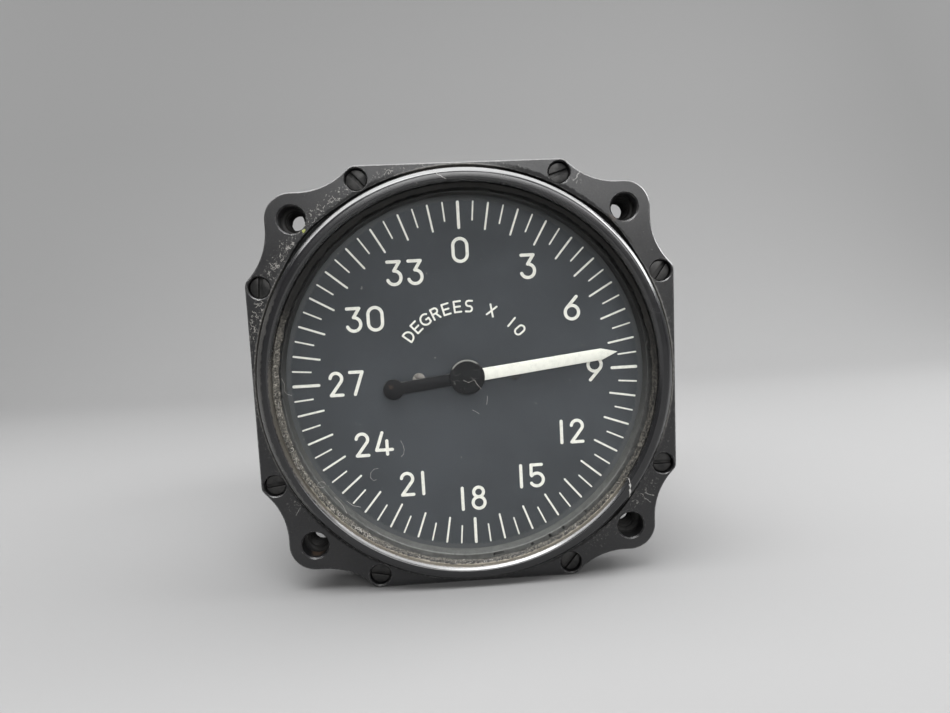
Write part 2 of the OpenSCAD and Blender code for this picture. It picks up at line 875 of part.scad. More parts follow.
module outer_race(front) {
    color(steel) facing() difference() {
        tube(race_out_r, race_out_in_r, front, front + race_w);
        ball_track(front);
    }
}

module inner_race(front) {
    color(steel) facing() difference() {
        tube(race_in_out_r, journal_r + hair, front, front + race_w);
        ball_track(front);
    }
}

module balls(front) {
    color(steel) facing() for (i = [0:ball_count - 1])
        at_bearing(ball_ring_r, 360 * i / ball_count) translate([0, 0, -front - race_w / 2])
            sphere(ball_r);
}

module front_outer_race() { outer_race(front_race); }
module front_inner_race() { inner_race(front_race); }
module front_balls() { balls(front_race); }
module rear_outer_race() { outer_race(rear_race); }
module rear_inner_race() { inner_race(rear_race); }
module rear_balls() { balls(rear_race); }

module rotor_shaft() {
    color(steel) facing() {
        bar(staff_r, staff_front + 0.05, front_race);
        bar(journal_r, dial_back + 0.4, rear_bell_back + 2.6);
        bar(shaft_r, front_race + race_w, rear_race);
    }
}

module shaft_collar() {
    front = rear_bell_back + 0.3;
    color(steel) facing() difference() {
        tube(journal_r + 1.8, journal_r + hair, front, front + 1.8);
        translate([0, 0, -front - 0.9]) rotate([-90, 0, 0]) cylinder(r = 0.4, h = 9);
    }
}

// The rotor's iron: a neck with a curved shoe at each end
module rotor_core() {
    shoe = [for (a = [-1, -0.5, 0, 0.5, 1]) on_circle(2 * rotor_r, 90 + a * shoe_half_angle)];
    color(dark_steel) facing() rotate(-pointer_bearing)
        slab(stack_front + 0.2, stack_back - 0.2) difference() {
            union() {
                square([neck_w, 2 * (shoe_r + 1)], center = true);
                for (q = [0, 180]) rotate(q) intersection() {
                    hoop([0, 0], (rotor_r + shoe_r) / 2, rotor_r - shoe_r);
                    polygon(concat([[0, 0]], shoe));
                }
            }
            circle(shaft_r + hair);
        }
}

module rotor_winding() {
    coil_r = shoe_r - coil_gap;
    core_front = stack_front + 0.1;
    core_back = stack_back - 0.1;
    color(copper) facing() rotate(-pointer_bearing) difference() {
        slab(core_front - rotor_turn_len, core_back + rotor_turn_len) intersection() {
            circle(coil_r);
            square([2 * coil_r - 0.6, coil_r * 1.4], center = true);
        }
        slab(core_front, core_back) square([neck_w + 0.2, 4 * rotor_r], center = true);
        bar(shaft_r + coil_gap, core_front - rotor_turn_len - over, core_back + rotor_turn_len + over);
    }
}

module slip_ring_sleeve() {
    color(phenolic) facing() tube(sleeve_r, shaft_r + hair, sleeve_front, sleeve_front + sleeve_len);
}

module slip_rings() {
    color(brass) facing() for (d = slip_depths)
        tube(slip_r, sleeve_r + hair, d - slip_w / 2, d + slip_w / 2);
}

// Places children at each brush, pointing away from the axis
module at_brushes() {
    for (d = slip_depths) translate([0, 0, -d]) rotate([-90, 0, 0]) children();
}

module brush_block() {
    color(phenolic) facing() difference() {
        translate([-block_w / 2, block_y0, -block_back])
            cube([block_w, block_y1 - block_y0, block_back - block_front]);
        at_brushes() cylinder(r = brush_r + 0.05, h = spring_top + 0.1);
    }
}

module brushes() {
    tip = slip_r + 0.05;
    color([0.2, 0.2, 0.2]) facing() at_brushes()
        translate([0, 0, tip]) cylinder(r = brush_r, h = brush_top - tip);
}

// Each spring is drawn as a ribbed sleeve
module brush_springs() {
    turns = 8;
    step = (spring_top - brush_top - 2 * spring_wire_r) / (turns - 1);
    color(steel) facing() at_brushes() rotate_extrude() for (i = [0:turns - 1])
        translate([brush_r - spring_wire_r - 0.05, brush_top + spring_wire_r + i * step]) {
            circle(spring_wire_r);
            if (i > 0) translate([-0.06, -step]) square([0.12, step]);
        }
}

module at_leads(r) { for (i = [0:lead_count - 1]) at_bearing(r, 360 * i / lead_count) children(); }

module terminal_board() {
    color(phenolic) facing() difference() {
        tube(board_r, board_in_r, rear_bell_back, board_back);
        at_leads(post_ring) bar(post_r + hair, rear_bell_back - over, board_back + over);
        at_board_screws() bar(board_screw_r + 0.1, rear_bell_back - over, board_back + over);
    }
}

module board_screws() {
    color(steel) facing() at_board_screws() mirror([0, 0, 1])
        slotted_screw(1.4, 0.9, board_screw_r, board_t + 2.2, -board_back - 0.9, 30);
}

module terminal_posts() {
    color(brass) facing() at_leads(post_ring) {
        bar(post_r, rear_bell_back + 0.4, post_back);
        bar(post_r + 0.6, board_back, board_back + 0.6);
    }
}

// Each lead runs from its post's end, inwards, into its pin's cup
module leads() {
    color([0.85, 0.82, 0.7]) facing() for (i = [0:lead_count - 1]) rotate(-360 * i / lead_count) {
        knee = [0, post_ring, -post_back - 2.5];
        bend = [0, pin_ring, -cup_front + 2.5];
        translate(knee) cylinder(r = lead_r, h = 2.5);
        rod(knee, bend, lead_r);
        translate([0, pin_ring, -cup_front - 2]) cylinder(r = lead_r, h = 4.5);
    }
}

module plug_outline() {
    side = plug_flange_w / 2 - plug_corner_r;
    square([plug_flange_w, 2 * side], center = true);
    square([2 * side, plug_flange_w], center = true);
    for (x = [-side, side], y = [-side, side]) translate([x, y]) circle(plug_corner_r);
}

module connector_gasket() {
    color(rubber_black) facing() difference() {
        slab(case_depth, plug_front) plug_outline();
        bar(plug_sleeve_r + 0.4, case_depth - over, plug_front + over);
        at_plug_screws() bar(plug_screw_r + slack, case_depth - over, plug_front + over);
    }
}

module connector_shell() {
    color(alloy) facing() difference() {
        union() {
            bar(plug_sleeve_r, insert_front, plug_flange_back);
            slab(plug_front, plug_flange_back) plug_outline();
            bar(barrel_d / 2, plug_front, barrel_back);
        }
        difference() {
            bar(socket_r, insert_front - over, barrel_back + over);
            translate([-key_w / 2, socket_r - key_h, -barrel_back + 1])
                cube([key_w, key_h + over, barrel_back - insert_face - 1.1]);
        }
        at_plug_screws() bar(plug_screw_r + slack, plug_front - over, plug_flange_back + over);
    }
}

module connector_insert() {
    color(phenolic) facing() difference() {
        bar(socket_r - 0.05, insert_front, insert_face);
        at_leads(pin_ring) bar(pin_r + hair, insert_front - over, insert_face + over);
    }
}

// Pins with a rounded end behind and a solder cup in front
module connector_pins() {
    color(brass) facing() at_leads(pin_ring) {
        bar(pin_r, insert_front - over, pin_back - pin_r);
        translate([0, 0, pin_r - pin_back]) sphere(pin_r);
        difference() {
            bar(cup_r, cup_front, insert_front);
            bar(lead_r + 0.05, cup_front - over, cup_front + 2.5);
        }
    }
}

module connector_screws() {
    shank_len = plug_flange_back - case_floor - 0.6;
    color(steel) facing() at_plug_screws() mirror([0, 0, 1])
        slotted_screw(plug_head_r, plug_head_h, plug_screw_r, shank_len,
            -plug_flange_back - plug_head_h, 40);
}

bezel();
bezel_gasket();
bezel_screws();
cover_glass();
glass_seal();
seat_ring();
dial_plate();
dial_markings();
dial_screws();
pointer_blade();
pointer_hub();
case();
mount_inserts();
movement_plate();
movement_screws();
synchro_clamps();
clamp_screws();
front_bell();
synchro_housing();
rear_bell();
bell_screws();
stator_core();
stator_winding();
front_outer_race();
front_balls();
front_inner_race();
rear_outer_race();
rear_balls();
rear_inner_race();
rotor_shaft();
rotor_core();
rotor_winding();
slip_ring_sleeve();
slip_rings();
shaft_collar();
brush_block();
brushes();
brush_springs();
terminal_board();
board_screws();
terminal_posts();
leads();
connector_gasket();
connector_shell();
connector_insert();
connector_pins();
connector_screws();
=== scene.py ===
import math
import random

import bmesh
import bpy
from bmesh.types import BMEdge, BMFace, BMVert
from bpy.props import FloatProperty, FloatVectorProperty, IntProperty, PointerProperty
from mathutils import Matrix, Vector, noise


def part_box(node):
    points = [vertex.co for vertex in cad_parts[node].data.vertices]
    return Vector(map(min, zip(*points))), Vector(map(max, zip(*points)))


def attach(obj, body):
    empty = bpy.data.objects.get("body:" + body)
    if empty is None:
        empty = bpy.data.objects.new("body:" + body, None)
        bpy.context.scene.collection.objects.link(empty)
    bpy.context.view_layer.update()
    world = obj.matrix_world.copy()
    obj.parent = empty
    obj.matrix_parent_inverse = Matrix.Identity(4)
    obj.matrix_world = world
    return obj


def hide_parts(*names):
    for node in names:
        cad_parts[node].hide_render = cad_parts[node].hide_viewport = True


bl_info = {
    "name": "Radio Compass Indicator",
    "version": (1, 0, 0),
    "blender": (4, 5, 0),
    "location": "3D View > Sidebar > Compass",
    "description": "Builds the surfaces of a round panel indicator on its CAD frame",
    "category": "Object",
}

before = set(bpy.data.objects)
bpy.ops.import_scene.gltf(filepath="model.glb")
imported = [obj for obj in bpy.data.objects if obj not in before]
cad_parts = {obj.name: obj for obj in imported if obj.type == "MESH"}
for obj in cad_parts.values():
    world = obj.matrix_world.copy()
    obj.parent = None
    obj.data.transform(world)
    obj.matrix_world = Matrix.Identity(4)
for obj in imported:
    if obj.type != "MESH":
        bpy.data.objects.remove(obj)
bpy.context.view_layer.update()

MM = 0.001
# Pieces are drawn in millimetres, face on: x right, y up and z towards the viewer. This stands
# them in the row frame, where the dial faces -Y
FACING = Matrix.Rotation(math.radians(90), 4, "X") @ Matrix.Scale(MM, 4)
RING_STEPS = 288
HOLE_STEPS = 48
# Points nearer than this are one point
NOWHERE = 1e-5
# Keeps the names of the finishes apart from those of the CAD's plain materials
PREFIX = "compass_"


# Shapes

def arc(centre_r, centre_z, radius, start, end, count):
    """Points of an arc in a half section, from one angle to another in degrees."""
    angles = [math.radians(start + (end - start) * i / count) for i in range(count + 1)]
    return [(centre_r + radius * math.cos(a), centre_z + radius * math.sin(a)) for a in angles]


def only(geom, kind):
    """The vertices, edges or faces of some geometry."""
    return [g for g in geom if isinstance(g, kind)]


def chain(bm, points, closed=False):
    """New vertices at some points, and the edges between neighbours."""
    verts = [bm.verts.new(p) for p in points]
    return verts, [bm.edges.new(pair) for pair in zip(verts, verts[1:] + verts[:closed])]


def pull(bm, edges, move):
    """Draws a wall from edges; returns the vertices and edges of its far side."""
    made = bmesh.ops.extrude_edge_only(bm, edges=edges)["geom"]
    far = only(made, BMVert)
    bmesh.ops.translate(bm, verts=far, vec=move)
    return far, [e for e in only(made, BMEdge) if all(v in far for v in e.verts)]


def lathe(bm, section, centre=(0, 0), steps=HOLE_STEPS):
    """Spins a half section of (radius, height) points once round; returns its new vertices."""
    kept = set(bm.verts)
    verts, edges = chain(bm, [(centre[0] + r, centre[1], z) for r, z in section])
    bmesh.ops.spin(bm, geom=verts + edges, cent=(*centre, 0), axis=(0, 0, 1), dvec=(0, 0, 0),
                   angle=math.tau, steps=steps, use_merge=True, use_duplicate=False)
    return [v for v in bm.verts if v not in kept]


def helix(bm, section, centre, pitch, turns, steps):
    """Winds a closed section of (radius, height) points back from the front, as a thread."""
    verts, edges = chain(bm, [(centre[0] + r, centre[1], z) for r, z in section], closed=True)
    bm.faces.new(verts)
    made = bmesh.ops.spin(bm, geom=verts + edges, cent=(*centre, 0), axis=(0, 0, 1),
                          dvec=(0, 0, -pitch / steps), angle=math.tau * turns, steps=int(turns * steps),
                          use_merge=False, use_duplicate=False)
    bmesh.ops.contextual_create(bm, geom=only(made["geom_last"], BMEdge))


def draw(bm, start, moves):
    """Draws a chain of edges from start; a move is (x, y) for a line or (x, y, turn) for an arc."""
    last = bm.verts.new((*start, 0))
    for x, y, *turn in moves:
        if turn:
            steps = max(2, round(abs(turn[0]) / 4))
            made = bmesh.ops.spin(bm, geom=[last], cent=(x, y, 0), axis=(0, 0, 1), dvec=(0, 0, 0),
                                  angle=math.radians(turn[0]), steps=steps, use_merge=False)
            last = only(made["geom_last"], BMVert)[0]
        else:
            last = bmesh.ops.extrude_vert_indiv(bm, verts=[last])["verts"][0]
            last.co = (x, y, 0)
    return last


def fill(bm, height, up):
    """Fills the flat between all open edges at one height, round its holes."""
    rim = [e for e in bm.edges
           if len(e.link_faces) < 2 and all(abs(v.co.z - height) < NOWHERE for v in e.verts)]
    bmesh.ops.triangle_fill(bm, use_beauty=True, edges=rim, normal=(0, 0, up))


def round_edge(bm, face, radius, count):
    """Rounds the rim of a face that faces the viewer, and lifts it by the radius."""
    angles = [math.pi / 2 * i / count for i in range(count + 1)]
    for a, b in zip(angles, angles[1:]):
        bmesh.ops.inset_region(bm, faces=[face], use_boundary=True, use_even_offset=True,
                               thickness=radius * (math.cos(a) - math.cos(b)),
                               depth=radius * (math.sin(b) - math.sin(a)))


def plate(bm, front, back, edge, count, closed):
    """Makes a drawn outline into a plate with a rounded front edge; returns its front face."""
    face = bmesh.ops.contextual_create(bm, geom=bm.edges[:])["faces"][0]
    if face.normal.z < 0:
        face.normal_flip()
    bmesh.ops.translate(bm, verts=bm.verts, vec=(0, 0, front - edge))
    _, low = pull(bm, face.edges[:], (0, 0, back - front + edge))
    if closed:
        bmesh.ops.contextual_create(bm, geom=low)
    round_edge(bm, face, edge, count)
    return face


def turn_about(bm, verts, degrees):
    """Turns vertices about the dial's axis."""
    bmesh.ops.rotate(bm, verts=verts, cent=(0, 0, 0), matrix=Matrix.Rotation(math.radians(degrees), 3, "Z"))


def put(name, data, at=(0, 0, 0), turn=(0, 0, 0)):
    """Makes an object and links it to the scene."""
    made = bpy.data.objects.new(name, data)
    made.location = at
    made.rotation_euler = turn
    bpy.context.scene.collection.objects.link(made)
    return made


def stand(bm, name):
    """Makes a bmesh into an object in the row frame."""
    bmesh.ops.recalc_face_normals(bm, faces=bm.faces)
    bmesh.ops.transform(bm, matrix=FACING, verts=bm.verts)
    mesh = bpy.data.meshes.new(name)
    bm.to_mesh(mesh)
    bm.free()
    mesh.shade_smooth()
    return put(name, mesh)


def piece(bm, name, body, finishes, stands_for=(), crease=32):
    """Makes a bmesh into a piece that rides on a CAD body."""
    bmesh.ops.remove_doubles(bm, verts=bm.verts, dist=NOWHERE)
    made = stand(bm, name)
    made.data.set_sharp_from_angle(angle=math.radians(crease))
    for look in finishes:
        made.data.materials.append(finish(look))
    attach(made, body)
    if stands_for:
        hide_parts(*stands_for)


# Shader trees

class Wiring:
    """Adds nodes to one tree, with values and links given by the input's name or number."""

    def __init__(self, tree):
        self.tree = tree

    def add(self, kind, inputs=None, **settings):
        node = self.tree.nodes.new("ShaderNode" + kind)
        for key, value in settings.items():
            setattr(node, key, value)
        for key, value in (inputs or {}).items():
            self.feed(node.inputs[key], value)
        return node

    def feed(self, socket, value):
        if isinstance(value, bpy.types.NodeSocket):
            self.tree.links.new(value, socket)
        elif hasattr(socket.default_value, "__len__") and len(value) < len(socket.default_value):
            socket.default_value = (*value, 1)
        else:
            socket.default_value = value

    def math(self, operation, a, b=0.0, c=0.0):
        return self.add("Math", {0: a, 1: b, 2: c}, operation=operation).outputs[0]

    def plus(self, a, b):
        return self.math("ADD", a, b)

    def minus(self, a, b):
        return self.math("SUBTRACT", a, b)

    def times(self, a, b):
        return self.math("MULTIPLY", a, b)

    def most(self, a, b):
        return self.math("MAXIMUM", a, b)

    def ramp(self, value, low, high, start=0.0, end=1.0):
        """A smooth change from start to end as value goes from low to high."""
        names = ("Value", "From Min", "From Max", "To Min", "To Max")
        return self.add("MapRange", dict(zip(names, (value, low, high, start, end))),
                        interpolation_type="SMOOTHSTEP").outputs[0]

    def blend(self, factor, a, b):
        """Colour a where factor is 0 and colour b where it is 1."""
        return self.add("Mix", {0: factor, 6: a, 7: b}, data_type="RGBA").outputs[2]

    def cover(self, under, over, mask, amount):
        """Lays one colour over another where a mask says so, as thickly as amount."""
        return self.blend(self.times(mask, amount), under, over)

    def place(self):
        return self.add("TexCoord").outputs["Object"]

    def split(self, vector=None):
        return self.add("SeparateXYZ", {0: vector or self.place()}).outputs

    def radius(self, x, z):
        """Distance from the dial's axis."""
        return self.math("SQRT", self.plus(self.times(x, x), self.times(z, z)))

    def noise(self, scale, detail=2.0, vector=None, roughness=0.5):
        """Smooth noise from 0 to 1, with scale in bumps for each millimetre."""
        linked = isinstance(scale, bpy.types.NodeSocket)
        inputs = {"Vector": vector or self.place(), "Detail": detail, "Roughness": roughness,
                  "Scale": self.math("DIVIDE", scale, MM) if linked else scale / MM}
        return self.add("TexNoise", inputs).outputs[0]

    def shake(self, scale, detail, amount):
        """Noise about zero, which makes an outline ragged."""
        return self.times(self.minus(self.noise(scale, detail), 0.5), amount)

    def varied(self, scale, detail, low, high):
        """A value that drifts between low and high."""
        return self.ramp(self.noise(scale, detail), 0.2, 0.8, low, high)

    def surface(self, colour, rough, height=None, depth=0.0, specular=0.5, metallic=0.0):
        """Sets the Principled shader; the depth of its bump is in millimetres."""
        for name, value in (("Base Color", colour), ("Roughness", rough), ("Specular IOR Level", specular),
                            ("Metallic", metallic)):
            self.feed(self.shader.inputs[name], value)
        if height:
            bump = self.add("Bump", {"Height": height, "Strength": 1.0, "Distance": depth * MM})
            self.feed(self.shader.inputs["Normal"], bump.outputs[0])

    def mix(self, factor, other):
        """Shows another shader where factor is 1."""
        mixed = self.add("MixShader", {0: factor, 1: self.shader.outputs[0], 2: other.outputs[0]})
        self.feed(self.out, mixed.outputs[0])


def effect(defaults, output="Mask"):
    """Makes a builder of nodes into a function that adds them as a node group, made once."""
    def wrap(build):
        def make():
            tree = bpy.data.node_groups.new(build.__name__, "ShaderNodeTree")
            for label, default in defaults.items():
                kind = "NodeSocketVector" if isinstance(default, tuple) else "NodeSocketFloat"
                socket = tree.interface.new_socket(name=label, in_out="INPUT", socket_type=kind)
                socket.default_value = default
            tree.interface.new_socket(name=output, in_out="OUTPUT", socket_type="NodeSocketFloat")
            given = tree.nodes.new("NodeGroupInput").outputs
            result = build(Wiring(tree), *(given[label] for label in defaults))
            tree.links.new(result, tree.nodes.new("NodeGroupOutput").inputs[0])
            return tree

        def add(w, *values):
            node = w.add("Group")
            node.node_tree = bpy.data.node_groups.get(build.__name__) or make()
            for label, value in zip(defaults, values):
                w.feed(node.inputs[label], value)
            return node.outputs[0]
        add.__doc__ = build.__doc__
        return add
    return wrap


@effect({"Inner": 30.0, "Outer": 31.0, "Middle": 0.0, "Half Angle": 180.0, "Blur": 0.3, "Ragged": 0.4})
def sector(w, inner, outer, middle, half_angle, blur, ragged):
    """Mask of a band round the dial's axis, between two radii and two angles."""
    x, _, z = w.split()
    radius = w.math("DIVIDE", w.radius(x, z), MM)
    radius = w.plus(radius, w.shake(1.5, 3.0, ragged))
    inside = w.ramp(radius, w.minus(inner, blur), inner)
    outside = w.ramp(radius, outer, w.plus(outer, blur), 1.0, 0.0)
    bearing = w.math("DEGREES", w.math("ARCTAN2", z, x))
    offset = w.math("ABSOLUTE", w.math("WRAP", w.minus(bearing, middle), 180.0, -180.0))
    between = w.ramp(offset, half_angle, w.plus(half_angle, 12.0), 1.0, 0.0)
    return w.times(w.times(inside, outside), between)


@effect({"Radius": 0.0003, "Chips": 1.0, "Amount": 1.0})
def worn_edge(w, radius, chips, amount):
    """Mask of sharp edges, broken up by noise."""
    soft = w.add("Bevel", {"Radius": radius}, samples=4).outputs[0]
    flat = w.add("NewGeometry").outputs["Normal"]
    turn = w.add("VectorMath", {0: soft, 1: flat}, operation="DOT_PRODUCT").outputs["Value"]
    broken = w.ramp(w.noise(chips, 4.0), 0.44, 0.62)
    return w.times(w.times(w.ramp(turn, 0.99, 0.86), broken), amount)


@effect({"Scale": 2.0, "Level": 0.66})
def speckle(w, scale, level):
    """Mask of small specks: the peaks of a noise."""
    return w.ramp(w.noise(scale, 3.0, roughness=0.6), level, w.plus(level, 0.05))


def turned_about(w, angle, **others):
    """Place of the surface, turned about the dial's axis."""
    inputs = {"Vector": w.place(), "Angle": angle, **others}
    return w.add("VectorRotate", inputs, rotation_type="Y_AXIS").outputs[0]


@effect({"Angle": 0.5, "Scale": 5.0, "Level": 0.7})
def streaks(w, angle, scale, level):
    """Mask of fine scratches that run one way on a flat that faces the viewer."""
    drawn = w.add("Mapping", {"Vector": turned_about(w, angle), "Scale": (0.06, 1.0, 1.0)}).outputs[0]
    return w.ramp(w.noise(scale, 2.0, drawn), level, w.plus(level, 0.03))


@effect({"Scale": 1.0, "Width": 0.02, "Level": 0.5})
def fibres(w, scale, width, level):
    """Mask of short curved fibres: stretches of the contour lines of a noise."""
    away = w.math("ABSOLUTE", w.minus(w.noise(scale, 1.0), 0.5))
    line = w.ramp(away, width, w.times(width, 0.4))
    shifted = w.add("VectorMath", {0: w.place(), 1: (0.013, 0.007, 0.021)}, operation="ADD").outputs[0]
    kept = w.ramp(w.noise(w.times(scale, 1.6), 2.0, shifted),
                  level, w.plus(level, 0.05))
    return w.times(line, kept)


def in_metres(w, centre):
    return w.add("VectorMath", {0: centre, "Scale": MM}, operation="SCALE").outputs[0]


@effect({"Centre": (0.0, 0.0, 0.0), "Angle": 0.0, "Half Width": 0.1, "Half Length": 1.0})
def scratch(w, centre, angle, half_width, half_length):
    """Mask of one broken scratch on a surface that faces the viewer."""
    middle = in_metres(w, centre)
    turned = turned_about(w, angle, Center=middle)
    x, _, z = w.split(w.add("VectorMath", {0: turned, 1: middle}, operation="SUBTRACT").outputs[0])
    across = w.math("ABSOLUTE", w.plus(w.math("DIVIDE", x, MM), w.shake(0.9, 3.0, 0.9)))
    along = w.math("ABSOLUTE", w.math("DIVIDE", z, MM))
    side = w.times(half_width, w.ramp(w.noise(2.2, 3.0), 0.35, 0.6))
    line = w.ramp(across, w.plus(side, 0.05), side)
    ends = w.ramp(along, half_length, w.times(half_length, 0.8))
    return w.times(line, ends)


@effect({"Centre": (0.0, 0.0, 0.0), "Size": 1.0, "Ragged": 1.0})
def spot(w, centre, size, ragged):
    """Mask of a ragged patch about one place."""
    middle = in_metres(w, centre)
    away = w.add("VectorMath", {0: w.place(), 1: middle}, operation="DISTANCE").outputs["Value"]
    away = w.plus(w.math("DIVIDE", away, MM), w.shake(2.5, 4.0, ragged))
    return w.ramp(away, size, w.times(size, 0.5))


@effect({"Scale": 4.0}, "Height")
def grain(w, scale):
    """Height of a finely uneven surface."""
    broad = w.noise(w.times(scale, 0.2), 2.0)
    return w.plus(w.times(w.noise(scale, 3.0), 0.6), w.times(broad, 0.4))


def open_material(name):
    """A cleared material and its wiring, with a Principled shader."""
    made = bpy.data.materials.new(PREFIX + name)
    made.use_nodes = True
    made.node_tree.nodes.clear()
    w = Wiring(made.node_tree)
    w.shader = w.add("BsdfPrincipled")
    w.out = w.add("OutputMaterial", {0: w.shader.outputs[0]}).inputs[0]
    w.look = bpy.context.scene.compass_finish
    return made, w


# Finishes

def shade(colour, amount):
    return tuple(c * amount for c in colour)


def black_paint(w):
    """Stoved black on the bezel: grime at the ring's foot, scuffs and lint, dust in the lower bore."""
    dusty = w.look.dust
    colour = w.blend(w.noise(0.25, 3.0), w.look.paint, shade(w.look.paint, 1.35))
    flange = sector(w, 40.3, 70.0)
    grit = w.ramp(w.noise(2.6, 4.0, roughness=0.7), 0.42, 0.75)
    cloud = w.ramp(w.noise(0.12, 5.0, roughness=0.62), 0.3, 0.75)
    colour = w.cover(colour, dusty, w.plus(w.times(grit, 0.03), w.times(cloud, 0.012)), flange)
    # Fine fuzz beside the ring, thickest at the left, and dust where the groove isn't black
    fuzz = w.most(w.times(speckle(w, 3.0, 0.62), 0.8), fibres(w, 1.3, 0.028, 0.54))
    for inner, outer, middle, half, amount in (
            (40.5, 42.2, 165, 15, 1.0), (41.2, 43.2, 134, 10, 0.85), (40.8, 42.2, 108, 10, 0.4),
            (40.2, 41.2, 90, 12, 0.5), (40.4, 41.4, 205, 10, 0.2), (40.5, 42.0, 352, 20, 0.2),
            (40.8, 43.2, 316, 8, 0.3)):
        mask = w.times(sector(w, inner, outer, middle, half, 0.6, 1.6), fuzz)
        colour = w.cover(colour, dusty, mask, amount)
    for inner, outer, middle, half, amount in (
            (39.6, 40.5, 92, 6, 0.3), (39.6, 40.4, 180, 26, 0.25), (39.6, 40.5, 4, 18, 0.3),
            (38.7, 39.3, 186, 26, 0.12)):
        colour = w.cover(colour, dusty, sector(w, inner, outer, middle, half, 0.3, 0.8), amount)
    for x, z, size, amount in ((22.5, 37.5, 1.8, 0.4), (35.6, -23.5, 1.8, 0.5), (-35, -23.5, 1.6, 0.35)):
        colour = w.cover(colour, dusty, w.times(spot(w, (x, 0, z), size, 2.0), fuzz), amount)
    for x, z, turn, width, length, amount in (
            (30.5, -23.2, 0.05, 0.12, 2.4, 0.8), (-3.2, 37.8, 1.15, 0.05, 1.1, 0.7),
            (35.3, -25.3, 1.3, 0.06, 1.1, 0.5), (34.9, -26.4, 1.0, 0.05, 0.9, 0.4),
            (37.0, -30.0, 0.1, 0.06, 1.6, 0.35), (22.4, 37.4, -0.6, 0.06, 1.2, 0.5),
            (-34.2, -24.4, -0.6, 0.06, 1.0, 0.4)):
        colour = w.cover(colour, (0.5, 0.49, 0.47), scratch(w, (x, 0, z), turn, width, length), amount)
    for at, size, ragged, stain in (((29, 0, 29.3), 1.0, 1.4, (0.03, 0.02, 0.014)),
                                    ((-31.5, 2.5, -34.0), 1.6, 1.4, (0.09, 0.06, 0.042)),
                                    ((-29.2, 0, 29.2), 0.38, 1.1, (0.34, 0.37, 0.09))):
        colour = w.blend(spot(w, at, size, ragged), colour, stain)
    # Black grime and painted shade where the ring meets the flange: the corner is painted near black, as if in
    # shade
    grime_and_shade = sector(w, 39.6, 41.0, 57, 14, 0.35, 0.9)
    for outer, middle, half in ((40.9, 127, 12), (40.8, 302, 8), (40.6, 225, 12)):
        grime_and_shade = w.most(grime_and_shade, sector(w, 39.6, outer, middle, half, 0.35, 0.9))
    colour = w.cover(colour, (0.002, 0.002, 0.002), grime_and_shade, 0.92)
    # Dust that has settled in the lower half of the bore
    settled = w.most(w.times(sector(w, 36.6, 36.93, 268, 48, 0.04, 0.3), 0.26),
                     w.times(sector(w, 36.6, 37.15, 197, 18, 0.2, 0.5), 0.16))
    colour = w.blend(settled, colour, (0.34, 0.305, 0.245))
    colour = w.cover(colour, dusty, speckle(w, 1.1, 0.72), 0.5)
    bare = worn_edge(w, 0.00014, 1.3, 0.5)
    colour = w.blend(bare, colour, w.look.bare_metal)
    rough = w.plus(w.varied(0.6, 4.0, 0.2, 0.28), w.times(flange, 0.1))
    rough = w.plus(rough, w.times(w.most(settled, grime_and_shade), 0.5))
    uneven = w.plus(grain(w, 4.0), w.times(w.times(grit, flange), 0.5))
    w.surface(colour, rough, uneven, 0.008, metallic=w.times(bare, 0.6))
    # The ring shines more than the flange, and its lip most
    ring = w.times(sector(w, 36.0, 39.6, 0, 180, 0.1, 0.1), w.minus(1.0, settled))
    lip = w.plus(w.times(sector(w, 36.96, 37.5, 0, 180, 0.1, 0.1), 0.7), 0.3)
    w.feed(w.shader.inputs["Coat Weight"], w.times(ring, lip))
    w.shader.inputs["Coat Roughness"].default_value = 0.16


def hub_paint(w):
    """Black of the pointer's hub, smeared, with a thin worn arc at the top of its rim."""
    smear = w.ramp(w.noise(0.5, 4.0, roughness=0.6), 0.4, 0.75)
    colour = w.blend(smear, w.look.paint, shade(w.look.paint, 1.8))
    colour = w.cover(colour, w.look.dust, fibres(w, 0.5, 0.012, 0.5), 0.2)
    # A pale arc at the top of the rim: painted highlight
    colour = w.cover(colour, w.look.dust, sector(w, 3.22, 3.5, 100, 42, 0.08, 0.1), 0.7)
    w.surface(colour, w.ramp(smear, 0, 1, 0.42, 0.6), grain(w, 5.0), 0.0004, 0.1)


def case_paint(w):
    """Black paint on the case, a little coarser than the bezel's."""
    colour = w.blend(w.noise(0.15, 4.0), w.look.paint, shade(w.look.paint, 1.5))
    colour = w.cover(colour, w.look.dust, speckle(w, 0.7, 0.7), 0.4)
    bare = w.most(worn_edge(w, 0.0004, 0.6, 0.6), w.times(streaks(w, 1.1, 1.2, 0.74), 0.25))
    colour = w.blend(bare, colour, w.look.bare_metal)
    w.surface(colour, w.varied(0.5, 4.0, 0.4, 0.6), grain(w, 2.6), 0.03)


def metal(w, colour, rough, stain=None, metallic=0.95):
    """A metal with a fine grain, dull patches and worn edges."""
    dull = w.ramp(w.noise(0.5, 4.0, roughness=0.6), 0.38, 0.68)
    tone = w.blend(dull, colour, stain or shade(colour, 0.45))
    worn = tuple(min(1.0, c * 1.25 + 0.05) for c in colour)
    tone = w.blend(worn_edge(w, 0.0002, 1.4, 0.6), tone, worn)
    w.surface(tone, w.plus(w.times(dull, 0.2), rough), grain(w, 6.0), 0.006, metallic=metallic)


def moulded(w, colour, rough):
    """A dull moulded or printed surface with a slight mottle."""
    tone = w.blend(w.noise(0.8, 4.0), colour, shade(colour, 0.72))
    tone = w.cover(tone, w.look.dust, speckle(w, 1.5, 0.7), 0.3)
    w.surface(tone, w.varied(1.2, 3.0, rough - 0.08, rough + 0.08), grain(w, 3.0), 0.02)


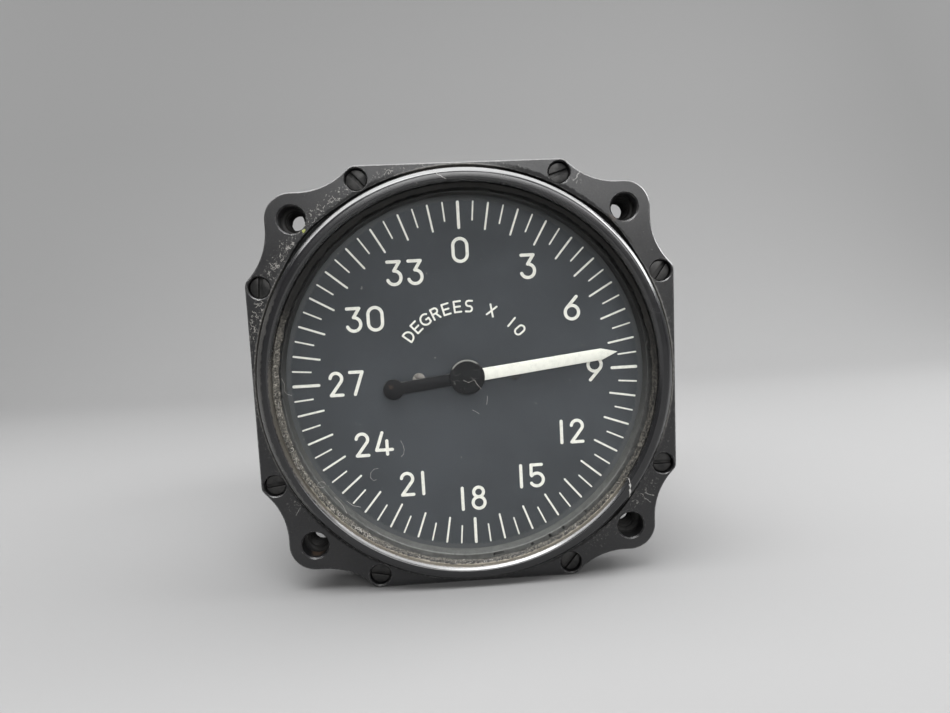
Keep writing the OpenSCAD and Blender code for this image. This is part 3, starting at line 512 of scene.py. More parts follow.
def dial_black(w):
    """Matt blue-black of the dial, with a faint cloud of dust."""
    cloud = w.ramp(w.noise(0.06, 5.0, roughness=0.6), 0.3, 0.75)
    colour = w.blend(cloud, w.look.dial, shade(w.look.dial, 1.3))
    colour = w.cover(colour, w.look.dust, speckle(w, 0.9, 0.705), 0.5)
    colour = w.cover(colour, w.look.dust, sector(w, 34.6, 36.0, 0, 180, 0.6, 1.0), 0.1)
    w.surface(colour, w.varied(2.0, 3.0, 0.55, 0.7), grain(w, 8.0), 0.001, 0.2)


def cream(w, scale, amount):
    """Cream paint that darkens in patches."""
    return w.blend(w.ramp(w.noise(scale, 4.0), 0.35, 0.75), w.look.cream, shade(w.look.cream, amount))


def cream_paint(w):
    """Printed cream of the scale and numerals."""
    w.surface(cream(w, 1.5, 0.86), w.varied(3.0, 3.0, 0.5, 0.65), grain(w, 9.0), 0.01)


def pointer_paint(w):
    """Cream blade and black tail, parted by a straight line across the hub."""
    turn = math.radians(w.look.pointer_bearing)
    sine, cosine = math.sin(turn) / MM, math.cos(turn) / MM
    x, _, z = w.split()
    along = w.plus(w.times(x, sine), w.times(z, cosine))
    across = w.minus(w.times(x, cosine), w.times(z, sine))
    blade = w.ramp(along, 3.0, 3.05)
    black = w.blend(w.noise(0.8, 3.0), w.look.paint, shade(w.look.paint, 1.4))
    black = w.cover(black, (0.08, 0.05, 0.035), spot(w, (-15, 2.1, -1.2), 0.55, 0.8), 0.35)
    # A pale line along the upper edge of the black tail: painted highlight
    black = w.cover(black, w.look.dust, worn_edge(w, 0.00012, 0.5, 0.7), w.ramp(across, -0.6, -1.0))
    w.surface(w.blend(blade, black, cream(w, 1.2, 0.9)), w.plus(w.times(blade, 0.05), 0.5),
              grain(w, 7.0), 0.0004, 0.1)


def glass(w):
    """Cover glass that lets the lamps through, faintly smeared."""
    smear = w.ramp(w.noise(0.08, 5.0, roughness=0.6), 0.45, 0.8, 0.0, 0.012)
    w.surface((0.985, 0.995, 0.99), smear)
    w.shader.inputs["Transmission Weight"].default_value = 1.0
    w.shader.inputs["IOR"].default_value = 1.22
    path = w.add("LightPath").outputs
    w.mix(w.most(path["Is Shadow Ray"], path["Is Diffuse Ray"]),
          w.add("BsdfTransparent", {"Color": (0.93, 0.94, 0.935)}))


def settled_dust_and_shade(w, top, low):
    """How much dust has settled: none at the top of the bore, most at its foot."""
    return w.ramp(w.split()[2], top * MM, low * MM)


def compound(w):
    """Old sealing compound: black and lumpy, with lint at the left, dust below and black grit by the metal."""
    lumps = w.ramp(w.noise(3.2, 5.0, roughness=0.72), 0.4, 0.66)
    # Paler towards the foot: settled dust, and painted shade that keeps the top darker
    amount = w.plus(w.times(settled_dust_and_shade(w, 20, -26), 0.45), 0.008)
    left = w.times(sector(w, 34.0, 40.0, 200, 34), 0.5)
    tone = w.blend(lumps, (0.005, 0.0048, 0.0045), (0.014, 0.013, 0.0115))
    tone = w.cover(tone, (0.3, 0.28, 0.24), w.most(amount, left), w.plus(lumps, 0.08))
    tone = w.cover(tone, (0.4, 0.36, 0.29), sector(w, 36.66, 36.97, 266, 50, 0.08, 0.3), 0.42)
    tone = w.cover(tone, (0.5, 0.47, 0.41), w.times(fibres(w, 1.1, 0.025, 0.48), left), 0.9)
    pits = w.ramp(w.noise(2.6, 3.0, roughness=0.6), 0.47, 0.56)
    tone = w.cover(tone, (0.006, 0.006, 0.006), sector(w, 36.33, 36.64, 285, 86, 0.1, 0.4), pits)
    w.surface(tone, w.ramp(lumps, 0, 1, 0.4, 0.85), w.noise(3.6, 4.0), 0.12, 0.3)


def seat_grey(w):
    """Dark seat ring, faintly grooved round the axis, with dust that has settled on its lower half."""
    x, y, z = w.split()
    rings = w.add("CombineXYZ", {0: w.radius(x, z), 1: y}).outputs[0]
    groove = w.noise(4.0, 2.0, rings)
    tone = w.blend(groove, (0.016, 0.0155, 0.0155), (0.034, 0.033, 0.032))
    cloud = w.ramp(w.noise(0.7, 5.0, roughness=0.65), 0.3, 0.7, 0.5, 1.0)
    # Paler towards the foot: settled dust, and painted shade that keeps the top darker
    dust = w.times(w.times(settled_dust_and_shade(w, 22, -26), 0.3), cloud)
    tone = w.blend(dust, tone, (0.27, 0.27, 0.262))
    # A pale line along the seat's upper edge, at the bottom: painted highlight
    tone = w.cover(tone, (0.4, 0.39, 0.37), sector(w, 35.62, 35.78, 284, 40, 0.06, 0.1), 0.14)
    tone = w.blend(speckle(w, 1.8, 0.68), tone, (0.012, 0.011, 0.01))
    w.surface(tone, w.ramp(dust, 0, 0.5, 0.45, 0.8), groove, 0.02, 0.3)


def lint(w):
    """Pale fibres."""
    w.surface(w.blend(w.noise(1.0, 2.0), (0.5, 0.48, 0.45), (0.28, 0.27, 0.25)), 0.9)


FINISHES = {
    "black_paint": [black_paint], "case_paint": [case_paint], "dial_black": [dial_black],
    "cream_paint": [cream_paint], "pointer_paint": [pointer_paint], "hub_paint": [hub_paint],
    "glass": [glass], "compound": [compound], "seat_grey": [seat_grey], "lint": [lint],
    "steel": (metal, (0.55, 0.54, 0.52), 0.28),
    "dark_steel": (metal, (0.032, 0.031, 0.03), 0.42, (0.011, 0.011, 0.011), 0.5),
    "tarnished": (metal, (0.19, 0.175, 0.16), 0.5, (0.09, 0.08, 0.072), 0.3),
    "alloy": (metal, (0.4, 0.405, 0.41), 0.4, (0.29, 0.29, 0.29)),
    "brass": (metal, (0.62, 0.5, 0.3), 0.32, (0.2, 0.15, 0.09)),
    "copper": (metal, (0.72, 0.32, 0.18), 0.3),
    "rubber": (moulded, (0.02, 0.02, 0.02), 0.7),
    "phenolic": (moulded, (0.11, 0.05, 0.025), 0.45),
    "carbon": (moulded, (0.03, 0.03, 0.032), 0.5),
    "insulation": (moulded, (0.5, 0.42, 0.25), 0.6),
}


def finish(name):
    """One of the finishes, made when it is first asked for."""
    made = bpy.data.materials.get(PREFIX + name)
    if not made:
        made, w = open_material(name)
        build, *values = FINISHES[name]
        build(w, *values)
    return made


# Sizes and colours that a user may change

class CompassSizes(bpy.types.PropertyGroup):
    """Sizes of the front, as on the CAD frame."""
    flange_half: FloatProperty(
        name="Flange half width", description="From the middle to a flat side of the flange",
        default=0.0409, unit="LENGTH")
    flange_thick: FloatProperty(
        name="Flange thickness", description="Thickness of the bezel's flange", default=0.003,
        unit="LENGTH")
    flange_edge: FloatProperty(
        name="Flange edge", description="Chamfer of the flange's front edge", default=0.00024,
        unit="LENGTH")
    hole_half: FloatProperty(
        name="Hole offset", description="From the middle to a mounting hole, each way",
        default=0.031435, unit="LENGTH")
    ear_hole_r: FloatProperty(
        name="Ear hole radius", description="Radius of a mounting hole", default=0.0026, unit="LENGTH")
    ring_r: FloatProperty(
        name="Ring radius", description="Outer radius of the raised ring", default=0.0395,
        unit="LENGTH")
    ring_height: FloatProperty(
        name="Ring height", description="Height of the ring's lip above the flange", default=0.0029,
        unit="LENGTH")
    mouth_r: FloatProperty(
        name="Mouth radius", description="Radius of the bore that holds the glass", default=0.0368,
        unit="LENGTH")


class CompassFinish(bpy.types.PropertyGroup):
    """Colours of the finishes."""
    paint: FloatVectorProperty(
        name="Black paint", description="Colour of the bezel and the case",
        default=(0.006, 0.006, 0.0068), subtype="COLOR", min=0, max=1)
    dial: FloatVectorProperty(
        name="Dial", description="Colour of the dial plate", default=(0.036, 0.039, 0.044),
        subtype="COLOR", min=0, max=1)
    cream: FloatVectorProperty(
        name="Cream paint", description="Colour of the scale and the blade",
        default=(0.83, 0.81, 0.745), subtype="COLOR", min=0, max=1)
    dust: FloatVectorProperty(
        name="Dust", description="Colour of dust and scuffs", default=(0.3, 0.29, 0.27),
        subtype="COLOR", min=0, max=1)
    bare_metal: FloatVectorProperty(
        name="Bare metal", description="Colour where the paint has worn off",
        default=(0.5, 0.49, 0.48), subtype="COLOR", min=0, max=1)
    pointer_bearing: FloatProperty(
        name="Pointer bearing", description="Bearing of the blade at rest, in degrees", default=83.2,
        min=0, max=360)


class CompassStage(bpy.types.PropertyGroup):
    """Camera, floor and lamps."""
    eye: FloatVectorProperty(
        name="Camera place", description="Where the camera stands",
        default=(-0.003847, -0.115058, 0.015459), subtype="TRANSLATION", unit="LENGTH", precision=6)
    aim: FloatVectorProperty(
        name="Camera turn", description="How the camera is turned", precision=6,
        default=(1.472962, 0.045497, -0.051901), subtype="EULER", unit="ROTATION")
    lens: FloatProperty(
        name="Lens", description="Focal length in millimetres on a 36 mm wide film", default=22.737,
        min=1)
    floor: FloatVectorProperty(
        name="Floor", description="Colour of the floor and the backdrop", default=(0.18, 0.18, 0.18),
        subtype="COLOR", min=0, max=1)
    front: FloatProperty(
        name="Front lamp", description="Power of the wide panel in front", default=10.5, unit="POWER")
    over: FloatProperty(name="Top lamp", description="Power of the wide panel overhead", default=8.8, unit="POWER")
    high: FloatProperty(name="High lamp", description="Power of the panel high in front", default=3.2, unit="POWER")
    side: FloatProperty(name="Right lamp", description="Power of the panel at the right", default=3.0, unit="POWER")
    fill: FloatProperty(name="Room light", description="Strength of the light from all round", default=0.02, min=0)
    distance: FloatProperty(
        name="Distance", description="Brightness of the floor and the room far from the object",
        default=0.4, min=0)
    seed: IntProperty(name="Lint seed", description="Changes how the lint lies", default=7)


# Pieces

def at_screws(size):
    """Middle of each bezel screw with the slope of its slot, clockwise from the top right."""
    across, inset = 19.1, 2.6
    for i, slope in enumerate((17, 55, 0, 50, -12, 8, 86, -48)):
        side = 1 if i % 2 == 0 else -1
        at = Vector((side * across, size.flange_half / MM - inset))
        quarter = (i + 1) // 2 % 4
        at.rotate(Matrix.Rotation(math.radians(-90 * quarter), 2))
        yield tuple(at), slope


def at_ears(size):
    """Middle of each mounting hole."""
    half = size.hole_half / MM
    return [(x * half, y * half) for x in (-1, 1) for y in (-1, 1)]


def flange_outline(bm, size):
    """The flange's outline: four flats, four ears and the hollows between them."""
    half, hole = size.flange_half / MM, size.hole_half / MM
    ear, hollow, shoulder = 5.0, 13.3, 2.0
    start = hole - 1.4
    centre = hole + ear + hollow
    shoulder_up = half - shoulder
    reach = math.sqrt((hollow + shoulder) ** 2 - (centre - shoulder_up) ** 2)
    shoulder_in = start - reach
    swing = math.degrees(math.acos((centre - shoulder_up) / (hollow + shoulder)))
    corner = [(shoulder_up, shoulder_in, 90 - swing), (centre, start, swing - 90), (hole + ear, hole),
              (hole, hole, 90), (start, hole + ear), (start, centre, swing - 90),
              (shoulder_in, shoulder_up, 90 - swing)]
    moves = []
    for quarter in range(4):
        turn = Matrix.Rotation(math.radians(90 * quarter), 2)
        if quarter:
            moves.append(tuple(turn @ Vector((half, shoulder_in))))
        moves += [(*(turn @ Vector(m[:2])), *m[2:]) for m in corner]
    first = (half, shoulder_in)
    last = draw(bm, first, moves)
    start_vert = min(bm.verts, key=lambda v: (v.co.xy - Vector(first)).length)
    bm.edges.new((last, start_vert))


def ring_section(size):
    """The groove at the ring's foot, the bevelled lip, and the bore to the flange's back."""
    out, top, bore = size.ring_r / MM, size.ring_height / MM, size.mouth_r / MM
    low, high, inner, flare, slope, deep = 0.5, 0.8, 0.4, 0.1, 0.5, 1.3
    crest = out - 1.2
    # The bevel between the two outer roundings slopes at 45 degrees
    wall = top - high - (out - low - crest) + math.sqrt(2) * (high - low)
    # The lip slopes between its two inner roundings, at an angle that mirrors the lamp overhead
    lip, lean = bore + flare + inner, math.radians(53)
    run, drop = slope * math.cos(lean), slope * math.sin(lean)
    return ([(out + 0.95, 0), (out + 0.87, -0.1), (out + 0.8, -deep), (out + 0.08, -deep), (out, 0.1 - deep)]
            + arc(out - low, wall, low, 0, 45, 5) + arc(crest, top - high, high, 45, 90, 7)
            + arc(lip + run, top - inner, inner, 90, 143, 6) + arc(lip, top - inner - drop, inner, 143, 180, 5)
            + [(bore, 0.8), (bore, -size.flange_thick / MM)])


def spread_groove(place, ring_r):
    """How far the outer edge of the ring's groove steps back behind three of the ears."""
    groove, step, spread = 0.7, 0.5, 13
    if place.z > NOWHERE or place.xy.length < ring_r + groove:
        return 0.0
    bearing = math.degrees(math.atan2(place.y, place.x))
    away = min(abs(bearing - ear) for ear in (45, 135, -45))
    return step * math.cos(math.pi / 2 * min(1.0, away / spread)) ** 2


class COMPASS_OT_bezel(bpy.types.Operator):
    """Builds the bezel: square flange with ears, raised ring, holes and screw wells"""
    bl_idname = "compass.bezel"
    bl_label = "Bezel"

    def execute(self, context):
        size = context.scene.compass_sizes
        back = -size.flange_thick / MM
        edge = size.flange_edge / MM
        bm = bmesh.new()
        flange_outline(bm, size)
        face = plate(bm, 0, back, edge, 1, closed=False)
        bmesh.ops.inset_region(bm, faces=[face], thickness=0.08, use_boundary=True, use_even_offset=True)
        bmesh.ops.delete(bm, geom=[face], context="FACES_ONLY")
        ring = lathe(bm, ring_section(size), steps=RING_STEPS)
        for v in ring:
            v.co.xy *= 1 + spread_groove(v.co, size.ring_r / MM) / v.co.xy.length
        hole, chamfer, well, shank = size.ear_hole_r / MM, 0.26, 2.1, 1.7
        for centre in at_ears(size):
            lathe(bm, [(hole + chamfer, 0), (hole, -chamfer), (hole, back)], centre)
        for centre, _ in at_screws(size):
            lathe(bm, [(well + 0.18, 0), (well, -0.18), (well, -2), (shank, -2), (shank, back)], centre, 40)
        fill(bm, 0, 1)
        fill(bm, back, -1)
        piece(bm, "bezel_casting", "case", ["black_paint"], ["bezel"])
        return {"FINISHED"}


def slotted_head(bm, centre, radius, top, height, slope, shank, depth, ease=0.14):
    """A round head with a straight slot, rounded edges and a shank behind it."""
    kept = set(bm.verts)
    slot, floor = radius * 0.19, top - height * 0.7
    bmesh.ops.create_circle(bm, cap_ends=True, segments=HOLE_STEPS, radius=radius)
    new = [v for v in bm.verts if v not in kept]
    bmesh.ops.translate(bm, verts=new, vec=(0, 0, floor))
    disc = list({f for v in new for f in v.link_faces})
    for side in (-1, 1):
        geom = disc + list({e for f in disc for e in f.edges}) + list({v for f in disc for v in f.verts})
        cut = bmesh.ops.bisect_plane(bm, geom=geom, plane_co=(0, side * slot, 0), plane_no=(0, 1, 0))
        disc = only(cut["geom"], BMFace)
    cheeks = [f for f in disc if abs(f.calc_center_median().y) > slot]
    low = bmesh.ops.extrude_face_region(bm, geom=disc, use_keep_orig=True)["geom"]
    bmesh.ops.translate(bm, verts=only(low, BMVert), vec=(0, 0, top - height - floor))
    high = bmesh.ops.extrude_face_region(bm, geom=cheeks)["geom"]
    bmesh.ops.delete(bm, geom=[f for f in cheeks if f.is_valid], context="FACES_ONLY")
    bmesh.ops.translate(bm, verts=only(high, BMVert), vec=(0, 0, top - floor))
    edges = list({e for f in only(high, BMFace) for e in f.edges})
    bmesh.ops.bevel(bm, geom=edges, offset=ease, offset_type="OFFSET", affect="EDGES", segments=3,
                    profile=0.5, material=-1, clamp_overlap=True)
    lathe(bm, [(shank, top - height), (shank, top - height - depth), (0, top - height - depth)], steps=24)
    new = [v for v in bm.verts if v not in kept]
    turn_about(bm, new, slope)
    bmesh.ops.translate(bm, verts=new, vec=(*centre, 0))


class COMPASS_OT_bezel_screws(bpy.types.Operator):
    """Builds the eight slotted screws of the bezel"""
    bl_idname = "compass.bezel_screws"
    bl_label = "Bezel screws"

    def execute(self, context):
        size = context.scene.compass_sizes
        bm = bmesh.new()
        radius, top, height, shank, depth = 1.9, -0.9, 1.1, 1.4, 5.0
        for centre, slope in at_screws(size):
            slotted_head(bm, centre, radius, top, height, slope, shank, depth)
        piece(bm, "bezel_screw_set", "case", ["dark_steel"], ["bezel_screws"])
        return {"FINISHED"}


class COMPASS_OT_inserts(bpy.types.Operator):
    """Builds the four threaded mounting inserts behind the ears"""
    bl_idname = "compass.inserts"
    bl_label = "Mounting inserts"

    def execute(self, context):
        size = context.scene.compass_sizes
        bm = bmesh.new()
        out, bore, front, back, pitch, turns = 3, 1.8, -3.4, -8.4, 0.55, 7.5
        for centre in at_ears(size):
            lathe(bm, [(out, back), (out, front - 0.1), (out - 0.1, front), (bore + 0.35, front),
                       (bore, front - 0.35), (bore, back), (out, back)], centre, 40)
            helix(bm, [(bore + 0.02, front - 0.3), (bore - 0.2, front - 0.5), (bore + 0.02, front - 0.7)],
                  centre, pitch, turns, 32)
        piece(bm, "insert_set", "case", ["dark_steel"], ["mount_inserts"])
        return {"FINISHED"}


class COMPASS_OT_plug_thread(bpy.types.Operator):
    """Builds the thread on the rear connector's barrel"""
    bl_idname = "compass.plug_thread"
    bl_label = "Connector thread"

    def execute(self, context):
        _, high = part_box("connector_shell")
        root, crest, pitch, turns = 11.06, 11.34, 1.27, 8
        first = 11 - high[1] / MM
        bm = bmesh.new()
        section = [(root, first + 0.6), (crest, first + 0.1), (crest, first - 0.1), (root, first - 0.6)]
        helix(bm, section, (0, 0), pitch, turns, 64)
        piece(bm, "plug_thread", "case", ["alloy"])
        return {"FINISHED"}


class COMPASS_OT_glass(bpy.types.Operator):
    """Builds the cover glass with its ground rim"""
    bl_idname = "compass.glass"
    bl_label = "Cover glass"

    def execute(self, context):
        edge, front, back, rim_cut = context.scene.compass_sizes.mouth_r / MM - 0.1, 0.8, -1.2, 0.25
        bm = bmesh.new()
        lathe(bm, [(0, front), (edge - rim_cut, front), (edge, front - rim_cut), (edge, back + rim_cut),
                   (edge - rim_cut, back), (0, back)], steps=RING_STEPS)
        piece(bm, "glass_disc", "case", ["glass"], ["cover_glass"])
        return {"FINISHED"}


def lumpy(v, scale, depth):
    """A smooth pseudo-random number for a place, between minus and plus depth."""
    return noise.noise(Vector(v) * scale) * depth


class COMPASS_OT_seal(bpy.types.Operator):
    """Builds the uneven bead of sealing compound round the glass"""
    bl_idname = "compass.seal"
    bl_label = "Sealing compound"

    def execute(self, context):
        bore = context.scene.compass_sizes.mouth_r / MM
        bm = bmesh.new()
        section = [(bore - 0.01, 0.82), (bore + 0.07, 1.45), (bore - 0.02, 1.5), (bore - 0.2, 1.35),
                   (bore - 0.4, 1.15), (bore - 0.6, 0.98), (bore - 0.78, 0.82), (bore - 0.4, 0.805),
                   (bore - 0.01, 0.82)]
        lathe(bm, section, steps=540)
        bmesh.ops.remove_doubles(bm, verts=bm.verts, dist=NOWHERE)
        for v in bm.verts:
            out = v.co.xy.normalized()
            radius = v.co.xy.length
            if radius > bore - 0.05 and v.co.z < 0.9:
                continue
            side = max(0.0, -out.x) ** 1.5
            free = (bore - radius + 0.2) / 0.98
            move = lumpy(v.co, 1.7, 0.16) + lumpy(v.co, 0.45, 0.22) + side * 0.35
            radius -= max(-0.1, move * free)
            v.co.x, v.co.y = out * radius
            if v.co.z > 0.81:
                v.co.z = max(0.803, v.co.z + lumpy(v.co, 2.3, 0.16) - side * 0.08)
        piece(bm, "seal_bead", "case", ["compound"], ["glass_seal"], 60)
        return {"FINISHED"}


class COMPASS_OT_seat(bpy.types.Operator):
    """Builds the seat ring between the dial and the glass"""
    bl_idname = "compass.seat"
    bl_label = "Seat ring"

    def execute(self, context):
        out = context.scene.compass_sizes.mouth_r / MM - 0.1
        low, high, widen, ease = -3.2, -1.2, 0.3, 0.12
        bore = out - 1.4
        bm = bmesh.new()
        lathe(bm, [(out, low), (bore, low), (bore + widen * 0.9, high - ease), (bore + widen + ease, high),
                   (out, high), (out, low)], steps=RING_STEPS)
        piece(bm, "seat_band", "case", ["seat_grey"], ["seat_ring"])
        return {"FINISHED"}


def strand(bm, points, radius):
    """A thin closed fibre along a line of points."""
    path = [Vector(p) for p in points]
    ways = [(b - a).normalized() for a, b in zip(path, path[1:])]
    ways.append(ways[-1])
    ring = bmesh.ops.create_circle(bm, cap_ends=True, segments=5, radius=radius)["verts"]
    edges = list({e for v in ring for e in v.link_edges})
    tilt = Vector((0, 0, 1)).rotation_difference(ways[0]).to_matrix()
    bmesh.ops.rotate(bm, verts=ring, cent=(0, 0, 0), matrix=tilt)
    bmesh.ops.translate(bm, verts=ring, vec=path[0])
    for i in range(1, len(path)):
        ring, edges = pull(bm, edges, path[i] - path[i - 1])
        bend = ways[i - 1].rotation_difference(ways[i]).to_matrix()
        bmesh.ops.rotate(bm, verts=ring, cent=path[i], matrix=bend)
    bmesh.ops.contextual_create(bm, geom=edges)


def wisp(chance, x, y, height, length, curl):
    """Points of a fibre that curls as it lies on a surface; height gives the surface at a radius."""
    heading = chance.uniform(0, math.tau)
    bend = chance.uniform(-curl, curl)
    points = []
    for _ in range(9):
        points.append((x, y, height(math.hypot(x, y)) + chance.uniform(0, 0.03)))
        x += math.cos(heading) * length / 8
        y += math.sin(heading) * length / 8
        heading += bend + chance.uniform(-0.25, 0.25)
    return points


def on_flange(_):
    return 0.035


def on_seal(radius):
    return 0.93 + max(0.0, min(0.9, radius - 35.9)) * 0.65


# Where lint has caught: middle and spread in degrees, radii, number of fibres, surface and length
LINT = (
    (164, 9, 41.0, 42.5, 70, on_flange, 1.0), (129, 6, 41.3, 43.4, 26, on_flange, 1.0),
    (108, 5, 41.0, 42.0, 8, on_flange, 0.9), (318, 5, 41.2, 43.0, 8, on_flange, 0.9),
    (196, 14, 36.0, 36.6, 46, on_seal, 1.1), (232, 16, 36.0, 36.6, 36, on_seal, 1.2),
    (285, 22, 36.0, 36.5, 16, on_seal, 0.9),
)
# Fibres on the glass and in the seal's lower left
FIBRES = (
    ((-13.5, -11.3), (-13.1, -12.2), (-12.9, -13.1), (-13.1, -14.0), (-13.6, -14.5)),
    ((-18.1, -16.5), (-18.9, -16.6), (-19.6, -17.3), (-19.7, -18.2), (-19.2, -18.9), (-18.6, -18.7)),
    ((-0.9, -0.2), (0.1, -0.7), (1.3, -0.3), (1.7, -1.1), (2.5, -2.1)),
    ((3.6, -3.5), (3.55, -4.4), (3.4, -5.2)), ((0.6, -6.1), (1.2, -6.4), (1.9, -6.9)),
    ((-24.6, -22.6), (-23.4, -23.6), (-21.9, -24.0)),
    ((-26.9, -21.6), (-26.0, -22.6), (-25.3, -23.6), (-24.7, -25.1)),
    ((-35.2, 1.9), (-34.7, 0.8), (-34.9, -0.4), (-34.3, -1.2), (-33.5, -1.4)),
)


def rests(points, surface, size):
    """Whether a fibre keeps to its surface: the seal, or the flange clear of its edge and openings."""
    if surface == on_seal:
        return all(35.8 < math.hypot(x, y) < 36.72 for x, y, _ in points)
    well, ear, ring, reach = 2.6, 3.2, 40.95, size.flange_half / MM - 0.4
    openings = [((0, 0), ring)] + [(c, well) for c, _ in at_screws(size)] + [(c, ear) for c in at_ears(size)]
    return all(max(abs(x), abs(y)) <= reach and all(math.dist((x, y), c) >= r for c, r in openings)
               for x, y, _ in points)


class COMPASS_OT_lint(bpy.types.Operator):
    """Builds the lint that has caught on the flange, in the seal and on the glass"""
    bl_idname = "compass.lint"
    bl_label = "Lint"

    def execute(self, context):
        size = context.scene.compass_sizes
        chance = random.Random(context.scene.compass_stage.seed)
        thin, glass = 0.03, 0.84
        bm = bmesh.new()
        for middle, spread, low, high, count, surface, length in LINT:
            for _ in range(count):
                bearing = math.radians(chance.gauss(middle, spread))
                radius = chance.uniform(low, high)
                x, y = radius * math.cos(bearing), radius * math.sin(bearing)
                points = wisp(chance, x, y, surface, length * chance.uniform(0.35, 1.3), 0.55)
                if rests(points, surface, size):
                    strand(bm, points, thin)
        for points in FIBRES:
            strand(bm, [(x, y, glass) for x, y in points], thin)
        loop = [math.radians(40 * i) for i in range(9)]
        strand(bm, [(-29.1 + 0.75 * math.cos(a), -19.0 + 0.6 * math.sin(a), glass + 0.25) for a in loop], thin)
        piece(bm, "caught_lint", "case", ["lint"])
        return {"FINISHED"}


class COMPASS_OT_dial(bpy.types.Operator):
    """Builds the two slotted screws of the dial"""
    bl_idname = "compass.dial"
    bl_label = "Dial screws"

    def execute(self, context):
        bm = bmesh.new()
        away, tilt = 9.5, math.radians(0.5)
        radius, top, height, shank, depth, ease = 1.25, -2.78, 0.42, 0.8, 2.6, 0.08
        for x, slope in ((-away, -38), (away, 20)):
            slotted_head(bm, (x, x * math.sin(tilt)), radius, top, height, slope, shank, depth, ease)
        # The right-hand screw takes the dark steel: painted shade, for the shadow that the pointer's blade casts on
        # it
        for face in bm.faces:
            face.material_index = 1 if face.calc_center_median().x > 0 else 0
        piece(bm, "dial_screw_pair", "case", ["tarnished", "dark_steel"], ["dial_screws"])
        return {"FINISHED"}


def pointer_outline(bm):
    """The pointer pointing up: blade with a straight point, disc under the hub, round-ended tail."""
    half, tip_half, tip, point, disc, tail, end = 1.2, 1.128, 30.2, 3.2, 3.45, 14.6, 2.05
    lift = math.degrees(math.asin(half / disc))
    tail_lift = math.degrees(math.asin(half / end))
    height = disc * math.cos(math.radians(lift))
    drop = tail - end * math.cos(math.radians(tail_lift))
    draw(bm, (half, height), [
        (tip_half, tip - point), (0, tip), (-tip_half, tip - point), (-half, height), (0, 0, 180 - 2 * lift),
        (-half, -drop), (0, -tail, 360 - 2 * tail_lift), (half, -height), (0, 0, 180 - 2 * lift)])


class COMPASS_OT_pointer(bpy.types.Operator):
    """Builds the pointer's sheet and its hub"""
    bl_idname = "compass.pointer"
    bl_label = "Pointer"

    def execute(self, context):
        turn = -context.scene.compass_finish.pointer_bearing
        front, back = -2.1, -2.5
        bm = bmesh.new()
        pointer_outline(bm)
        bmesh.ops.remove_doubles(bm, verts=bm.verts, dist=1e-3)
        plate(bm, front, back, 0.09, 2, closed=True)
        turn_about(bm, bm.verts[:], turn)
        piece(bm, "pointer_sheet", "pointer", ["pointer_paint"], ["pointer_blade"])
        bm = bmesh.new()
        radius, cap, ease, neck, foot, end = 3.45, -1.7, 0.16, 1.9, 2.55, -2.9
        lathe(bm, [(0, cap), (radius * 0.4, cap - 0.01), (radius * 0.75, cap - 0.03)]
              + arc(radius - ease, cap - 0.05 - ease, ease, 80, 0, 5)
              + [(radius, front), (neck, front), (neck, back), (foot, back), (foot, end), (0, end)], steps=96)
        piece(bm, "hub_cap", "pointer", ["hub_paint"], ["pointer_hub"])
        return {"FINISHED"}


CAD_FINISH = {
    "case": "case_paint", "bezel_gasket": "rubber", "connector_gasket": "rubber",
    "dial_plate": "dial_black", "dial_markings": "cream_paint", "movement_plate": "alloy",
    "movement_screws": "steel", "synchro_clamps": "steel", "clamp_screws": "steel",
    "front_bell": "alloy", "synchro_housing": "alloy", "rear_bell": "alloy", "bell_screws": "steel",
    "stator_core": "dark_steel", "stator_winding": "copper", "rotor_core": "dark_steel",
    "rotor_winding": "copper", "slip_ring_sleeve": "phenolic", "slip_rings": "brass",
    "brush_block": "phenolic", "brushes": "carbon", "brush_springs": "brass",
    "terminal_board": "phenolic", "board_screws": "steel", "terminal_posts": "brass",
    "leads": "insulation", "connector_shell": "alloy", "connector_insert": "carbon",
    "connector_pins": "brass", "connector_screws": "steel",
}


class COMPASS_OT_frame_finish(bpy.types.Operator):
    """Gives every CAD node that shows its finish"""
    bl_idname = "compass.frame_finish"
    bl_label = "Finish the CAD nodes"

    def execute(self, context):
        for name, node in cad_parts.items():
            node.data.materials.clear()
            node.data.materials.append(finish(CAD_FINISH.get(name, "steel")))
        return {"FINISHED"}


def seen(w):
    """Whole for rays from the camera or through glass, a third for mirrored rays, else nothing."""
    path = w.add("LightPath").outputs
    straight = w.most(path["Is Camera Ray"], path["Is Transmission Ray"])
    return w.most(straight, w.times(path["Is Glossy Ray"], 0.33))


def build_floor(stage):
    """The floor, which bends up into a backdrop and pales with distance."""
    level, front, bend, corner, height, half = -41.0, 5000, -260, 220, 1500, 4000
    profile = [(front, level)] + arc(bend, level + corner, corner, -90, -180, 16)
    profile.append((bend - corner, level + corner + height))
    bm = bmesh.new()
    _, edges = chain(bm, [(-half, y, z) for z, y in profile])
    pull(bm, edges, (2 * half, 0, 0))
    floor = stand(bm, "floor")
    made, w = open_material("floor_pale")
    w.surface(stage.floor, 0.9, specular=0.1)
    away = w.add("VectorMath", {0: w.place()}, operation="LENGTH").outputs["Value"]
    w.mix(w.times(seen(w), w.ramp(away, 0.3, 0.95)), w.add("Emission", {"Strength": stage.distance}))
    floor.data.materials.append(made)


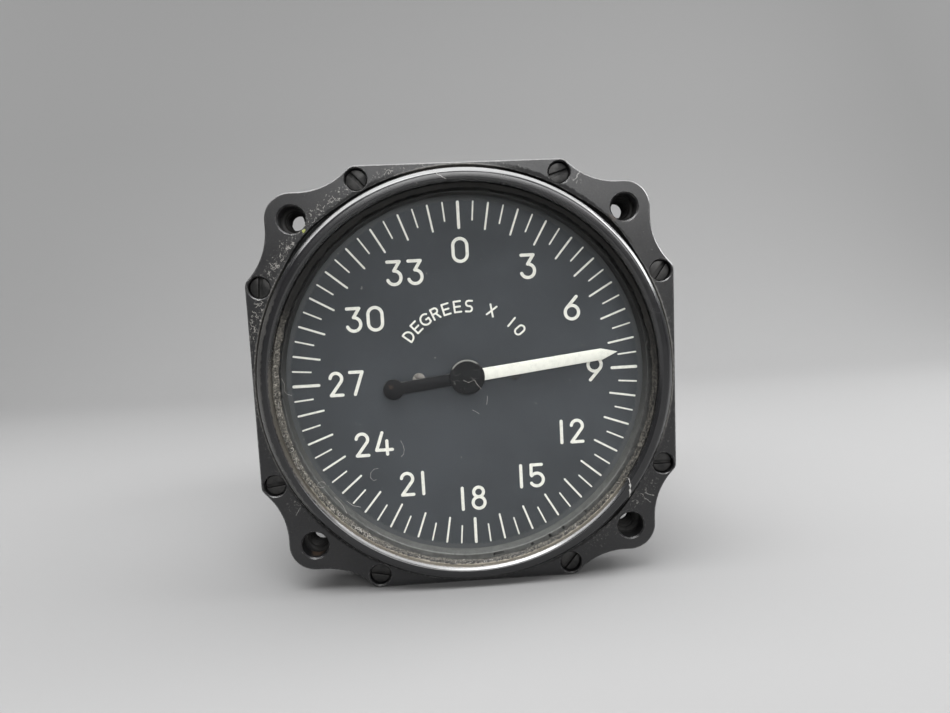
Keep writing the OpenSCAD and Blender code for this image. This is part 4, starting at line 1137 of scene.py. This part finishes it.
class COMPASS_OT_stage(bpy.types.Operator):
    """Builds the floor with its backdrop, the lamps and the camera"""
    bl_idname = "compass.stage"
    bl_label = "Stage"

    def execute(self, context):
        scene = context.scene
        stage = scene.compass_stage
        build_floor(stage)
        for name, at, width, depth, power in (
                ("front", (0.3, -1.0, 0.42), 1.2, 0.35, stage.front),
                ("over", (0.0, 0.02, 0.45), 1.2, 0.3, stage.over),
                ("high", (-0.06, -0.16, 0.5), 0.4, 0.2, stage.high),
                ("right", (0.5, 0.12, 0.3), 0.3, 0.3, stage.side)):
            lamp = bpy.data.lights.new(name, "AREA")
            lamp.shape = "RECTANGLE"
            lamp.size = width
            lamp.size_y = depth
            lamp.energy = power
            put(name, lamp, at, (-Vector(at)).to_track_quat("-Z", "Y").to_euler())

        scene.world = bpy.data.worlds.new("room")
        scene.world.use_nodes = True
        w = Wiring(scene.world.node_tree)
        room = w.tree.nodes["Background"].inputs
        room["Color"].default_value = (1, 1, 1, 1)
        w.feed(room["Strength"], w.plus(w.times(seen(w), stage.distance - stage.fill), stage.fill))

        film = bpy.data.cameras.new("viewpoint")
        film.lens = stage.lens
        film.sensor_width = 36
        film.clip_start = 0.005
        scene.camera = put("viewpoint", film, stage.eye, stage.aim)
        scene.view_settings.view_transform = "Standard"
        return {"FINISHED"}


class COMPASS_PT_panel(bpy.types.Panel):
    """Lists the sizes, the colours and the pieces"""
    bl_idname = "COMPASS_PT_panel"
    bl_label = "Radio Compass Indicator"
    bl_space_type = "VIEW_3D"
    bl_region_type = "UI"
    bl_category = "Compass"

    def draw(self, context):
        for name in GROUPS:
            group = getattr(context.scene, name)
            box = self.layout.box()
            for prop in group.__annotations__:
                box.prop(group, prop)
        for operator in OPERATORS:
            self.layout.operator(operator.bl_idname)


GROUPS = {"compass_sizes": CompassSizes, "compass_finish": CompassFinish, "compass_stage": CompassStage}
OPERATORS = (
    COMPASS_OT_frame_finish, COMPASS_OT_bezel, COMPASS_OT_bezel_screws, COMPASS_OT_inserts,
    COMPASS_OT_plug_thread, COMPASS_OT_glass, COMPASS_OT_seal, COMPASS_OT_seat, COMPASS_OT_lint,
    COMPASS_OT_dial, COMPASS_OT_pointer, COMPASS_OT_stage,
)
CLASSES = (*GROUPS.values(), *OPERATORS, COMPASS_PT_panel)


def register():
    for cls in CLASSES:
        bpy.utils.register_class(cls)
    for name, cls in GROUPS.items():
        setattr(bpy.types.Scene, name, PointerProperty(type=cls))


def unregister():
    for name in GROUPS:
        delattr(bpy.types.Scene, name)
    for cls in reversed(CLASSES):
        bpy.utils.unregister_class(cls)


def main():
    register()
    for operator in OPERATORS:
        area, name = operator.bl_idname.split(".")
        getattr(getattr(bpy.ops, area), name)()


if __name__ == "__main__":
    main()
